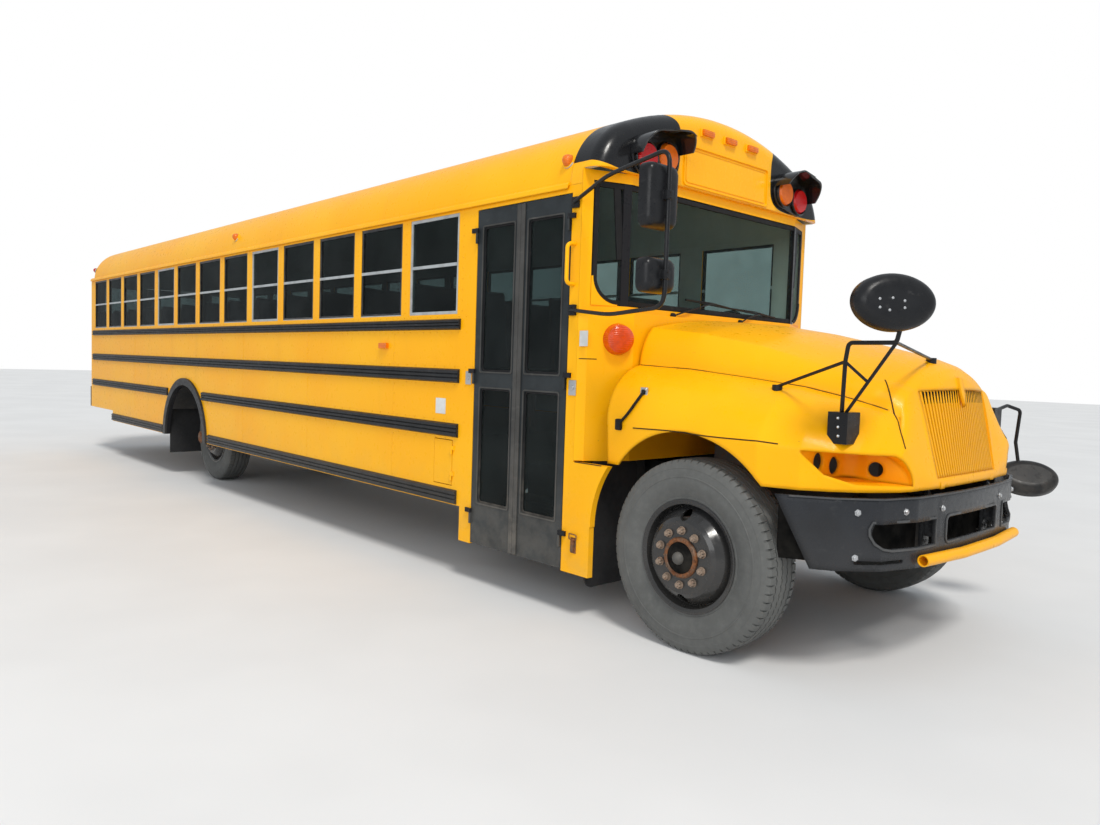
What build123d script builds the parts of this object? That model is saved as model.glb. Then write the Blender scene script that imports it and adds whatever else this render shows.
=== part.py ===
from build123d import *
import math
import os

os.makedirs("parts", exist_ok=True)

# Type-C school bus, millimetres. +X points forward, +Y to the driver's side, +Z up.
# The origin is on the ground, half way between the rear bumper and the front mirrors.

# Overall stations along the bus
overall_length = 12580
front_reach = 1150
wheelbase = 7290
front_x = overall_length / 2 - front_reach
rear_x = front_x - wheelbase
rear_bumper_depth = 110
rear_bumper_x = -overall_length / 2
tail_x = rear_bumper_x + rear_bumper_depth
door_front_x = front_x - 877
door_rear_x = front_x - 1778
cap_rear_x = front_x - 900
bulkhead_x = front_x - 620
screen_x = front_x - 700
screen_corner_x = front_x - 790

# Body shell
half_width = 1219
wall = 40
inner_half = half_width - wall
floor_z = 1010
floor_plate = 40
skirt_z = 505
rear_skirt_z = 650
door_sill_z = 270
wall_top_z = 2550
roof_crown_z = 3145
shoulder_radius = 430
roof_sheet = 40

# Bends of the windscreen and bulkhead plans, in from the sides
screen_corner_y = half_width - 54
screen_bend_y = half_width - 319
cowl_corner_y = half_width - 29
cowl_bend_y = half_width - 289

# Side windows, right hand first one counted from the front
window_pitch = 711
window_count = 13
first_window_x = front_x - 2285
window_width = 600
window_low_z = 1827
window_high_z = 2515
glass = 6
sash = 22
driver_window_x = front_x - 1400
driver_window_width = 700
driver_window_low_z = 1640

# Entrance door
door_width = door_front_x - door_rear_x
door_low_z = 280
door_high_z = 2500
door_gap = 6
leaf = 38
hinge_y = -half_width - 14
entry_hinge_zs = (450, 1390, 2320)

# Fuel filler flap
fuel_hinge_x = front_x - 2003
fuel_hinge_y = -half_width - 8
fuel_width = 216
fuel_low_z = 640
fuel_high_z = 950
fuel_hinge_zs = (690, 870)
flap_sheet = 20

# Wheels
tyre_radius = 515
tyre_width = 274
bead_radius = 286
flange_radius = 305
rim_half = 106
disc_sheet = 12
mount_offset = 160
track_front = 1030
dual_inner_y = 745
dual_outer_y = dual_inner_y + 2 * mount_offset
bolt_circle = 285.75
nut_count = 10
hand_hole_r = 222
arch_radius = 620
axle_z = tyre_radius

# Chassis
rail_outer_y = 432
rail_height = 254
rail_low_z = 640
rail_flange = 76
rail_web = 8
rail_top_z = rail_low_z + rail_height
kingpin_y = 860
spindle_radius = 45
running_gap = 0.5
seat_gap = 0.3
door_clearance = 5

# Hood
hood_rear_x = front_x - 600
hood_sheet = 14
hood_low_z = 942
hood_pivot_x = front_x + 925
hood_pivot_z = 950
hinge_pin = 7
front_arch_x = front_x - 45
front_arch_z = 568
front_arch_radius = 600

# Bumper
bumper_top_z = 922
bumper_low_z = 575
bumper_sheet = 12
bumper_nose_x = front_x + 1000


def save(part, label):
    """Give the finished piece its name and write it."""
    part.label = label
    export_step(part, "parts/" + label + ".step")


def side_plane(y):
    """Upright plane facing the right hand side, local x forward and local y up."""
    return Plane.XZ.offset(-y)


def cross_plane(x):
    """Upright plane across the bus, local x to the left and local y up."""
    return Plane.YZ.offset(x)


def tube(points, radius, bend, mode=Mode.ADD):
    """Bent round bar along a route, added to or cut from the current part."""
    with BuildLine() as route:
        FilletPolyline(*points, radius=bend)
    line = route.wires()[0]
    with BuildSketch(Plane(origin=line @ 0, z_dir=line % 0)) as profile:
        Circle(radius)
    sweep(profile.sketch, path=line, mode=mode)


# Frame: two channel rails, open inwards, tied by cross members
rail_front_x = front_x + 900
rail_rear_x = tail_x + 60
crossmember_low_z = 794
crossmember_xs = (front_x + 700, front_x - 1500, front_x - 2900, front_x - 4400, front_x - 5900,
                  rear_x + 620, rear_x - 620, rear_x - 2000, rear_x - 3300)
with BuildPart() as frame_rails:
    for side in (1, -1):
        with BuildSketch(cross_plane(rail_rear_x)):
            with BuildLine():
                y0 = side * rail_outer_y
                y1 = side * (rail_outer_y - rail_flange)
                yw = side * (rail_outer_y - rail_web)
                Polyline((y0, rail_low_z), (y0, rail_top_z), (y1, rail_top_z), (y1, rail_top_z - rail_web),
                         (yw, rail_top_z - rail_web), (yw, rail_low_z + rail_web), (y1, rail_low_z + rail_web),
                         (y1, rail_low_z), close=True)
            make_face()
        extrude(amount=rail_front_x - rail_rear_x)
    with Locations(*[(x, 0, crossmember_low_z + 40) for x in crossmember_xs]):
        Box(60, 2 * (rail_outer_y - rail_web - seat_gap), 80)
    with Locations(*[(x, 0, rail_low_z - seat_gap) for x in (front_x - 330, front_x + 520)]):
        Box(90, 2 * rail_outer_y, 50, align=(Align.CENTER, Align.CENTER, Align.MAX))
save(frame_rails.part, "frame_rails")

# Front axle: forged I beam that drops between the springs, with kingpin eyes
beam_z = 470
with BuildPart() as front_axle:
    with BuildSketch(cross_plane(front_x - 45)):
        with BuildLine():
            Polyline((-kingpin_y + 50, axle_z - 55), (-640, beam_z - 50), (640, beam_z - 50),
                     (kingpin_y - 50, axle_z - 55), (kingpin_y - 50, axle_z + 55), (620, beam_z + 50),
                     (-620, beam_z + 50), (-kingpin_y + 50, axle_z + 55), close=True)
        make_face()
    extrude(amount=90)
    with Locations((front_x - 60, 0, beam_z), (front_x + 60, 0, beam_z)):
        Box(60, 1160, 56, mode=Mode.SUBTRACT)
    with Locations((front_x, kingpin_y - 40, axle_z), (front_x, 40 - kingpin_y, axle_z)):
        Box(80, 90, 110)
    with Locations((front_x, kingpin_y, axle_z), (front_x, -kingpin_y, axle_z)):
        Cylinder(42, 110)
        Cylinder(20, 190)
save(front_axle.part, "front_axle")

# Rear axle: banjo housing with its differential, tube and spindles
with BuildPart() as rear_axle:
    with BuildSketch(cross_plane(rear_x)):
        with BuildLine():
            Polyline((-985, axle_z), (-985, axle_z + spindle_radius), (-600, axle_z + spindle_radius),
                     (-600, axle_z + 72), (-230, axle_z + 72), (-120, axle_z + 190), (120, axle_z + 190),
                     (230, axle_z + 72), (600, axle_z + 72), (600, axle_z + spindle_radius),
                     (985, axle_z + spindle_radius), (985, axle_z), close=True)
        make_face()
    revolve(axis=Axis((rear_x, 0, axle_z), (0, 1, 0)))
    with Locations(Location((rear_x + 200, 0, axle_z), (0, 90, 0))):
        Cone(120, 70, 150)
save(rear_axle.part, "rear_axle")

# Leaf springs: stepped packs with eyes, hung from brackets on the rails
spring_width = 76
# columns: axle station, half length, pack height, underside on the axle, leaves
springs = ((front_x, 620, 42, beam_z + 50.3, 3), (rear_x, 760, 78, axle_z + 72.3, 5))
with BuildPart() as leaf_springs:
    for axle_x, reach, pack, seat_z, leaves in springs:
        step = pack / leaves
        for side in (1, -1):
            y = side * (rail_outer_y + spring_width / 2 + 0.3)
            for level in range(leaves):
                length = 2 * reach * (0.45 + 0.55 * level / (leaves - 1))
                with Locations((axle_x, y, seat_z + step * (level + 0.5))):
                    Box(length, spring_width, step)
            for end in (1, -1):
                with Locations((axle_x + end * (reach - 30), y, (seat_z + pack + rail_top_z) / 2 - 20)):
                    Box(60, spring_width, rail_top_z - seat_z - pack - 40)
save(leaf_springs.part, "leaf_springs")

# Engine as one plain block between the rails
with BuildPart() as engine_block:
    with Locations((front_x + 100, 0, 965)):
        Box(1060, 690, 650)
    fillet(engine_block.edges().filter_by(Axis.X), 40)
save(engine_block.part, "engine_block")

# Gearbox, two-piece driveshaft and its centre bearing
gearbox_x = front_x - 430.3
gearbox_z = 730
shaft_front = Vector(gearbox_x - 800, 0, gearbox_z)
shaft_rear = Vector(rear_x + 278, 0, axle_z)
shaft_line = shaft_rear - shaft_front
with BuildPart() as driveshaft:
    with Locations(Location((gearbox_x - 200, 0, gearbox_z), (0, -90, 0))):
        Cone(220, 165, 400)
    with Locations(Location((gearbox_x - 600, 0, gearbox_z), (0, -90, 0))):
        Cylinder(150, 420)
    with BuildSketch(Plane(origin=shaft_front, z_dir=shaft_line)):
        Circle(55)
    extrude(amount=shaft_line.length)
    for hanger_x in crossmember_xs[2:4]:
        shaft_z = shaft_front.Z + shaft_line.Z * (hanger_x - shaft_front.X) / shaft_line.X
        with Locations((hanger_x, 0, shaft_z - 70)):
            Box(50, 150, crossmember_low_z - 0.3 - shaft_z + 70,
                align=(Align.CENTER, Align.CENTER, Align.MIN))
save(driveshaft.part, "driveshaft")

# Fuel tank outboard of the right rail, on two straps
with BuildPart() as fuel_tank:
    with Locations((front_x - 2750, -790, 690)):
        Box(1300, 640, 400)
    fillet(fuel_tank.edges().filter_by(Axis.X), 70)
    with Locations((front_x - 2400, -455, 690), (front_x - 3100, -455, 690)):
        Box(60, 46, 120)
save(fuel_tank.part, "fuel_tank")

# Exhaust: silencer and tailpipe outboard of the left rail
exhaust_y = 640
exhaust_z = 760
with BuildPart() as exhaust:
    with BuildLine() as exhaust_route:
        FilletPolyline((front_x - 3300, exhaust_y, exhaust_z), (rear_x + 950, exhaust_y, exhaust_z),
                       (rear_x + 850, exhaust_y + 380, exhaust_z - 60), radius=180)
    with BuildSketch(Plane(origin=(front_x - 3300, exhaust_y, exhaust_z), z_dir=(-1, 0, 0))):
        Circle(52)
    sweep(path=exhaust_route.wires()[0])
    with Locations(Location((front_x - 4000, exhaust_y, exhaust_z), (0, 90, 0))):
        Cylinder(125, 1100)
    with Locations((front_x - 3700, exhaust_y - 165, exhaust_z),
                   (front_x - 4300, exhaust_y - 165, exhaust_z)):
        Box(50, 85, 60)
save(exhaust.part, "exhaust")

# Floor plate on its cross sills, cut for the rear wheels and the entrance
floor_front_x = bulkhead_x - wall
floor_rear_x = tail_x + wall + door_clearance
# Its front corners, just inside the bulkhead's angled corners
toe_x = front_x - 746 - 0.8 * wall
toe_y = cowl_corner_y - 16 - 0.6 * wall
nose_y = cowl_bend_y - 17 - 0.45 * wall
floor_plate_z = floor_z - floor_plate
well_rear_x = door_rear_x + 20
well_front_x = door_front_x - 20
well_inner_y = -500
well_outer_y = door_clearance - inner_half
housing_inner_y = 560
sill_xs = [tail_x + 300 + 750 * i for i in range(15)]
with BuildPart() as floor:
    with BuildSketch(Plane.XY.offset(floor_plate_z)):
        with Locations(((floor_rear_x + front_x - 800) / 2, 0)):
            Rectangle(front_x - 800 - floor_rear_x, 2 * inner_half)
        with BuildLine():
            Polyline((front_x - 801, 9 - inner_half), (front_x - 801, inner_half - 9), (toe_x, toe_y),
                     (floor_front_x - seat_gap, nose_y), (floor_front_x - seat_gap, -nose_y), (toe_x, -toe_y),
                     close=True)
        make_face()
        with Locations(((well_rear_x + well_front_x) / 2, (well_inner_y - inner_half) / 2)):
            Rectangle(well_front_x - well_rear_x, inner_half + well_inner_y, mode=Mode.SUBTRACT)
        with Locations(((door_rear_x + door_front_x) / 2, -inner_half)):
            Rectangle(door_width, 2 * door_clearance, mode=Mode.SUBTRACT)
    extrude(amount=floor_plate)
    for side in (1, -1):
        with BuildSketch(side_plane(side * inner_half)):
            with Locations((rear_x, axle_z)):
                Circle(arch_radius)
        extrude(amount=side * (inner_half - housing_inner_y), mode=Mode.SUBTRACT)
    for x in sill_xs:
        if abs(x - rear_x) > arch_radius + 60 and x < well_rear_x - 60:
            with Locations((x, 0, (rail_top_z + floor_plate_z) / 2)):
                Box(50, 2 * inner_half, floor_plate_z - rail_top_z)
save(floor.part, "floor")

# Rear wheel housings, arched over the tyres and let into the floor
with BuildPart() as wheel_housings:
    for side in (1, -1):
        with BuildSketch(side_plane(side * inner_half)):
            with Locations((rear_x, axle_z)):
                Circle(arch_radius - seat_gap)
            with Locations((rear_x, axle_z - arch_radius / 2 + 150)):
                Rectangle(2 * arch_radius + 10, arch_radius + 300, mode=Mode.SUBTRACT)
        extrude(amount=side * (inner_half - housing_inner_y - seat_gap))
        with BuildSketch(side_plane(side * inner_half)):
            with Locations((rear_x, axle_z)):
                Circle(arch_radius - 14)
        extrude(amount=side * (inner_half - housing_inner_y - 14), mode=Mode.SUBTRACT)
save(wheel_housings.part, "wheel_housings")

# Step well: risers and treads down to the door sill, between two side plates under the floor
step_count = 3
step_rise = 215
step_sheet = 20
well_plate = 16
tread_depth = (well_inner_y - well_outer_y) / step_count
well_width = well_front_x - well_rear_x
with BuildPart() as step_well:
    for step in range(step_count):
        tread_z = floor_z - step_rise * (step + 1)
        riser_top_z = tread_z + step_rise if step else floor_plate_z
        outer_y = well_inner_y - tread_depth * (step + 1)
        with Locations(((well_rear_x + well_front_x) / 2, outer_y, tread_z)):
            Box(well_width, tread_depth, step_sheet, align=(Align.CENTER, Align.MIN, Align.MAX))
        with Locations(((well_rear_x + well_front_x) / 2, outer_y + tread_depth, riser_top_z)):
            Box(well_width, step_sheet, riser_top_z - tread_z + step_sheet,
                align=(Align.CENTER, Align.MIN, Align.MAX))
    for x in (well_rear_x - well_plate, well_front_x):
        with BuildSketch(Plane.YZ.offset(x)):
            with BuildLine():
                low_z = floor_z - step_count * step_rise - step_sheet - 10
                Polyline((well_inner_y + step_sheet, floor_plate_z),
                         (well_inner_y + step_sheet, floor_z - step_rise - step_sheet - 10),
                         (well_outer_y, low_z), (well_outer_y, floor_plate_z), close=True)
            make_face()
        extrude(amount=well_plate)
save(step_well.part, "step_well")


def wall_outline(is_right):
    """Side wall seen from the right, skirt to drip rail."""
    front_low = [(door_rear_x, door_sill_z), (door_rear_x, door_high_z + door_gap),
                 (door_front_x, door_high_z + door_gap), (door_front_x, door_sill_z)]
    if not is_right:
        front_low = []
    return ([(tail_x, wall_top_z), (tail_x, rear_skirt_z), (front_x - 10200, rear_skirt_z),
             (front_x - 10200, skirt_z), (front_x - 1907, skirt_z), (front_x - 1907, door_sill_z)]
            + front_low +
            [(front_x - 650, door_sill_z), (front_x - 650, front_arch_z), (front_x - 490, front_arch_z),
             (front_x - 490, hood_low_z - 8), (front_x - 800, hood_low_z - 8), (front_x - 800, wall_top_z)])


window_xs = [first_window_x - window_pitch * i for i in range(window_count)]
window_z = (window_low_z + window_high_z) / 2
window_height = window_high_z - window_low_z
fuel_z = (fuel_low_z + fuel_high_z) / 2
fuel_height = fuel_high_z - fuel_low_z
for side, name in ((-1, "right_wall"), (1, "left_wall")):
    with BuildPart() as side_wall:
        with BuildSketch(side_plane(side * half_width)):
            with BuildLine():
                Polyline(*wall_outline(side < 0), close=True)
            make_face()
            with Locations(*[(x, window_z) for x in window_xs]):
                Rectangle(window_width, window_height, mode=Mode.SUBTRACT)
            with Locations((rear_x, axle_z - 10)):
                Circle(arch_radius, mode=Mode.SUBTRACT)
            with Locations((front_arch_x, front_arch_z)):
                Circle(front_arch_radius, mode=Mode.SUBTRACT)
            if side > 0:
                with Locations((driver_window_x, (driver_window_low_z + window_high_z) / 2)):
                    Rectangle(driver_window_width, window_high_z - driver_window_low_z, mode=Mode.SUBTRACT)
            else:
                with Locations((fuel_hinge_x - fuel_width / 2, fuel_z)):
                    Rectangle(fuel_width + door_clearance, fuel_height + 2 * door_clearance,
                              mode=Mode.SUBTRACT)
        extrude(amount=side * wall)
        if side < 0:
            # Fixed hinge leaves of the fuel flap
            for z in fuel_hinge_zs:
                with Locations((fuel_hinge_x, fuel_hinge_y, z + 30.4)):
                    Cylinder(6, 30)
                    with Locations((0, 4, 0)):
                        Box(24, 10, 30, align=(Align.MIN, Align.CENTER, Align.CENTER))
            # Fixed hinge leaves of the entrance door
            for edge_x, way in ((door_rear_x + door_gap, 1), (door_front_x - door_gap, -1)):
                for z in entry_hinge_zs:
                    with Locations((edge_x + way * 6, hinge_y, z + 50.4)):
                        Cylinder(9, 30)
                        with Locations((-way * 26, 0, 0)):
                            Box(52, 10, 30)
                        with Locations((-way * 40, 7, 0)):
                            Box(24, 24, 30)
    save(side_wall.part, name)

with BuildPart() as fuel_door:
    with BuildSketch(side_plane(-half_width)):
        with Locations((fuel_hinge_x - door_clearance / 2 - fuel_width / 2, fuel_z)):
            Rectangle(fuel_width - door_clearance, fuel_height)
    extrude(amount=-flap_sheet)
    for z in fuel_hinge_zs:
        with Locations((fuel_hinge_x, fuel_hinge_y, z)):
            Cylinder(6, 30)
            with Locations((0, 4, 0)):
                Box(24, 10, 30, align=(Align.MAX, Align.CENTER, Align.CENTER))
save(fuel_door.part, "fuel_door")

# Roof section: two tangent shoulders and a wide crown
corner_y = half_width - shoulder_radius
crown_rise = roof_crown_z - wall_top_z - shoulder_radius
shoulder_angle = 90 - 2 * math.degrees(math.atan(crown_rise / corner_y))
crown_radius = shoulder_radius + corner_y / math.cos(math.radians(shoulder_angle))


def roof_points(inset):
    """Eaves, shoulder middle and shoulder top of the roof section, on the left half."""
    radius = shoulder_radius - inset
    points = []
    for angle in (0, shoulder_angle / 2, shoulder_angle):
        points.append((corner_y + radius * math.cos(math.radians(angle)),
                       wall_top_z + radius * math.sin(math.radians(angle))))
    return points


def roof_section(inset, base_z):
    """Closed roof section, drawn in the current sketch."""
    eaves, middle, top = roof_points(inset)
    with BuildLine() as outline:
        ThreePointArc(eaves, middle, top)
        ThreePointArc(top, (0, roof_crown_z - inset), (-top[0], top[1]))
        ThreePointArc((-top[0], top[1]), (-middle[0], middle[1]), (-eaves[0], eaves[1]))
        Polyline((-eaves[0], eaves[1]), (-eaves[0], base_z), (eaves[0], base_z), eaves)
    make_face(outline.edges())


def roof_form(inset, low_z):
    """Solid roof with its rounded tail, set in from the outside."""
    start = tail_x + inset
    with BuildPart() as form:
        with BuildSketch(cross_plane(start)):
            roof_section(inset, wall_top_z - 1)
        extrude(amount=cap_rear_x - tail_x)
        split(bisect_by=Plane.XY.offset(low_z), keep=Keep.TOP)
        tail_edges = form.edges().filter_by_position(Axis.X, start - 1, start + 1)
        fillet(tail_edges.filter_by(lambda e: e.center().Z > wall_top_z + 10), 180 - inset)
    return form.part


with BuildPart() as roof:
    add(roof_form(0, wall_top_z + 0.3))
    add(roof_form(roof_sheet, wall_top_z - 1), mode=Mode.SUBTRACT)
save(roof.part, "roof")

# Front cap over the windscreen
cap_front_x = front_x - 670
cap_low_z = 2640
with BuildPart() as front_cap:
    with BuildSketch(cross_plane(cap_rear_x)):
        roof_section(0, wall_top_z - 1)
    extrude(amount=cap_front_x - cap_rear_x)
    nose_edges = front_cap.edges().filter_by_position(Axis.X, cap_front_x - 1, cap_front_x + 1)
    fillet(nose_edges.filter_by(lambda e: e.center().Z > wall_top_z + 10), 100)
    split(bisect_by=Plane.XY.offset(wall_top_z + 0.3), keep=Keep.TOP)
    with Locations((front_x - 300, 0, cap_low_z - 500)):
        Box(1000, 3000, 1000, mode=Mode.SUBTRACT)
    with BuildSketch(cross_plane(cap_rear_x - 1)):
        roof_section(roof_sheet, wall_top_z - 2)
    extrude(amount=cap_front_x - roof_sheet - cap_rear_x + 1, mode=Mode.SUBTRACT)
save(front_cap.part, "front_cap")

# Rear wall with the emergency door opening and two windows each side
rear_door_half = 430
rear_hinge_x = tail_x - 16
rear_hinge_y = 8 - rear_door_half
rear_hinge_zs = (1150, 1720, 2300)
rear_door_low_z = floor_z - 40
rear_door_high_z = 2480
with BuildPart() as rear_wall:
    with BuildSketch(cross_plane(tail_x)):
        with Locations((0, (rear_skirt_z + wall_top_z) / 2)):
            Rectangle(2 * inner_half - 1, wall_top_z - rear_skirt_z)
        with Locations((0, (rear_door_low_z + rear_door_high_z) / 2)):
            Rectangle(2 * rear_door_half + 2 * door_gap, rear_door_high_z - rear_door_low_z + 2 * door_gap,
                      mode=Mode.SUBTRACT)
        with Locations((-800, window_z), (800, window_z)):
            Rectangle(480, 560, mode=Mode.SUBTRACT)
    extrude(amount=wall)
    for z in rear_hinge_zs:
        with Locations((rear_hinge_x, rear_hinge_y, z + 65.4)):
            Cylinder(10, 40)
            with Locations((0, -24, 0)):
                Box(12, 48, 40)
            with Locations((-6, -36, 0)):
                Box(22, 24, 40, align=(Align.MIN, Align.CENTER, Align.CENTER))
save(rear_wall.part, "rear_wall")


def front_plan(inset):
    """Plan of the windscreen surround, right to left, set in from the outside."""
    right = [(front_x - 799.7, inset - half_width),
             (screen_corner_x - 9.7 * inset / wall, inset * 0.6 - screen_corner_y),
             (screen_x - inset, -screen_bend_y)]
    return right + [(x, -y) for x, y in reversed(right)]


def cowl_plan(inset):
    """Plan of the bulkhead and its angled corners, right to left, set in from the outside."""
    right = [(front_x - 799.7, inset - half_width),
             (front_x - 745 - inset * 0.8, inset * 0.6 - cowl_corner_y),
             (bulkhead_x - inset, inset * 0.45 - cowl_bend_y)]
    return right + [(x, -y) for x, y in reversed(right)]


def screen_ring(outer, inner):
    """Bent strip between two insets of the windscreen plan."""
    with BuildLine() as outline:
        Polyline(*front_plan(outer), *reversed(front_plan(inner)), close=True)
    make_face(outline.edges())


# Cowl: bulkhead, scuttle shelf and windscreen surround in one pressing
screen_low_z = 1860
screen_high_z = 2580
scuttle_z = 1800
with BuildPart() as cowl:
    with BuildSketch(Plane.XY.offset(scuttle_z)):
        screen_ring(0, wall)
    extrude(amount=cap_low_z - 0.3 - scuttle_z)
    with Locations((screen_x, 0, (screen_low_z + screen_high_z) / 2)):
        Box(400, 2 * screen_bend_y, screen_high_z - screen_low_z, mode=Mode.SUBTRACT)
    for side in (1, -1):
        with Locations((screen_x, side * (half_width - 174), (screen_low_z + screen_high_z) / 2)):
            Box(400, 190, screen_high_z - screen_low_z, mode=Mode.SUBTRACT)
    with BuildSketch(Plane.XY.offset(hood_low_z)):
        with BuildLine():
            Polyline(*cowl_plan(0), *reversed(cowl_plan(wall)), close=True)
        make_face()
    extrude(amount=scuttle_z - hood_low_z)
    with BuildSketch(Plane.XY.offset(scuttle_z - 20)):
        with BuildLine():
            Polyline(*cowl_plan(0), close=True)
        make_face()
    extrude(amount=40)
save(cowl.part, "cowl")

with BuildPart() as windshield:
    with BuildSketch(Plane.XY.offset(screen_low_z + 0.3)):
        screen_ring(14, 14 + glass)
    extrude(amount=screen_high_z - screen_low_z - 0.6)
    for side in (1, -1):
        with Locations((screen_x, side * (half_width - 294), 2220)):
            Box(400, 50.6, 1000, mode=Mode.SUBTRACT)
        with Locations((screen_x, side * (half_width + 21), 2220)):
            Box(400, 200.6, 1000, mode=Mode.SUBTRACT)
save(windshield.part, "windshield")

# Side window sashes and panes
def window_frame(width, height, bar):
    """Frame outline with its slide rail, drawn in the current sketch."""
    Rectangle(width, height)
    with Locations((0, -height / 4 + bar / 4), (0, height / 4 - bar / 4)):
        Rectangle(width - 2 * bar, height / 2 - 1.5 * bar, mode=Mode.SUBTRACT)


with BuildPart() as window_frames:
    for side in (1, -1):
        places = [(x, window_z) for x in window_xs]
        with BuildSketch(side_plane(side * (half_width - 4))):
            with Locations(*places):
                window_frame(window_width - 0.6, window_height - 0.6, sash)
        extrude(amount=side * 24)
    with BuildSketch(side_plane(half_width - 4)):
        with Locations((driver_window_x, (driver_window_low_z + window_high_z) / 2)):
            Rectangle(driver_window_width - 0.6, window_high_z - driver_window_low_z - 0.6)
            Rectangle(driver_window_width - 2 * sash, window_high_z - driver_window_low_z - 2 * sash,
                      mode=Mode.SUBTRACT)
    extrude(amount=24)
save(window_frames.part, "window_frames")

pane_height = window_height / 2 - 1.5 * sash - 0.6
with BuildPart() as window_glass:
    for side in (1, -1):
        with BuildSketch(side_plane(side * (half_width - 12))):
            for x in window_xs:
                with Locations((x, window_z - window_height / 4 + sash / 4),
                               (x, window_z + window_height / 4 - sash / 4)):
                    Rectangle(window_width - 2 * sash - 0.6, pane_height)
        extrude(amount=side * glass)
    with BuildSketch(side_plane(half_width - 12)):
        with Locations((driver_window_x, (driver_window_low_z + window_high_z) / 2)):
            Rectangle(driver_window_width - 2 * sash - 0.6,
                      window_high_z - driver_window_low_z - 2 * sash - 0.6)
    extrude(amount=glass)
    with BuildSketch(cross_plane(tail_x + 14)):
        with Locations((-800, window_z), (800, window_z)):
            Rectangle(479.4, 559.4)
    extrude(amount=glass)
save(window_glass.part, "window_glass")

# Rub rails: ribbed strips riveted along both sides
rail_proud = 20
rail_front_end_x = front_x - 1940
rail_rear_end_x = tail_x + 120
# columns: low edge, high edge, rear end, front end on the right, front end on the left
rub_rail_table = ((1718, 1794, rail_rear_end_x, rail_front_end_x, rail_front_end_x),
                  (1352, 1449, rail_rear_end_x, rail_front_end_x, front_x - 960),
                  (975, 1072, rail_rear_end_x, front_x - 7860, front_x - 7860),
                  (975, 1072, front_x - 6735, rail_front_end_x, front_x - 960),
                  (510, 611, front_x - 10190, front_x - 8030, front_x - 8030),
                  (510, 611, front_x - 6540, rail_front_end_x, front_x - 1960))
with BuildPart() as rub_rails:
    for low, high, start, end_right, end_left in rub_rail_table:
        for side, end in ((-1, end_right), (1, end_left)):
            base = side * half_width
            rise = high - low
            with BuildSketch(cross_plane(start)):
                with BuildLine():
                    Polyline((base, low), (base + side * rail_proud, low + 10),
                             (base + side * rail_proud, low + rise * 0.30),
                             (base + side * (rail_proud - 8), low + rise * 0.36),
                             (base + side * rail_proud, low + rise * 0.42),
                             (base + side * rail_proud, low + rise * 0.58),
                             (base + side * (rail_proud - 8), low + rise * 0.64),
                             (base + side * rail_proud, low + rise * 0.70),
                             (base + side * rail_proud, high - 10), (base, high), close=True)
                make_face()
            extrude(amount=end - start)
save(rub_rails.part, "rub_rails")

# Rear arch flares
with BuildPart() as arch_flares:
    for side in (1, -1):
        with BuildSketch(side_plane(side * (half_width + 24))):
            with Locations((rear_x, axle_z - 10)):
                Circle(arch_radius + 82)
                Circle(arch_radius, mode=Mode.SUBTRACT)
            with Locations((rear_x, axle_z - 10 - 500)):
                Rectangle(2000, 1000, mode=Mode.SUBTRACT)
        extrude(amount=side * 24)
save(arch_flares.part, "arch_flares")


def bumper_plan(inset):
    """Plan of the front bumper from the right end to the left end."""
    # columns: x forward of the front axle, y
    right = ((520, -1165), (760, -1010), (900, -840), (970, -620))
    points = [(front_x + x - inset, y + inset * 0.7) for x, y in right]
    return points + [(x, -y) for x, y in reversed(points)]


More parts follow.
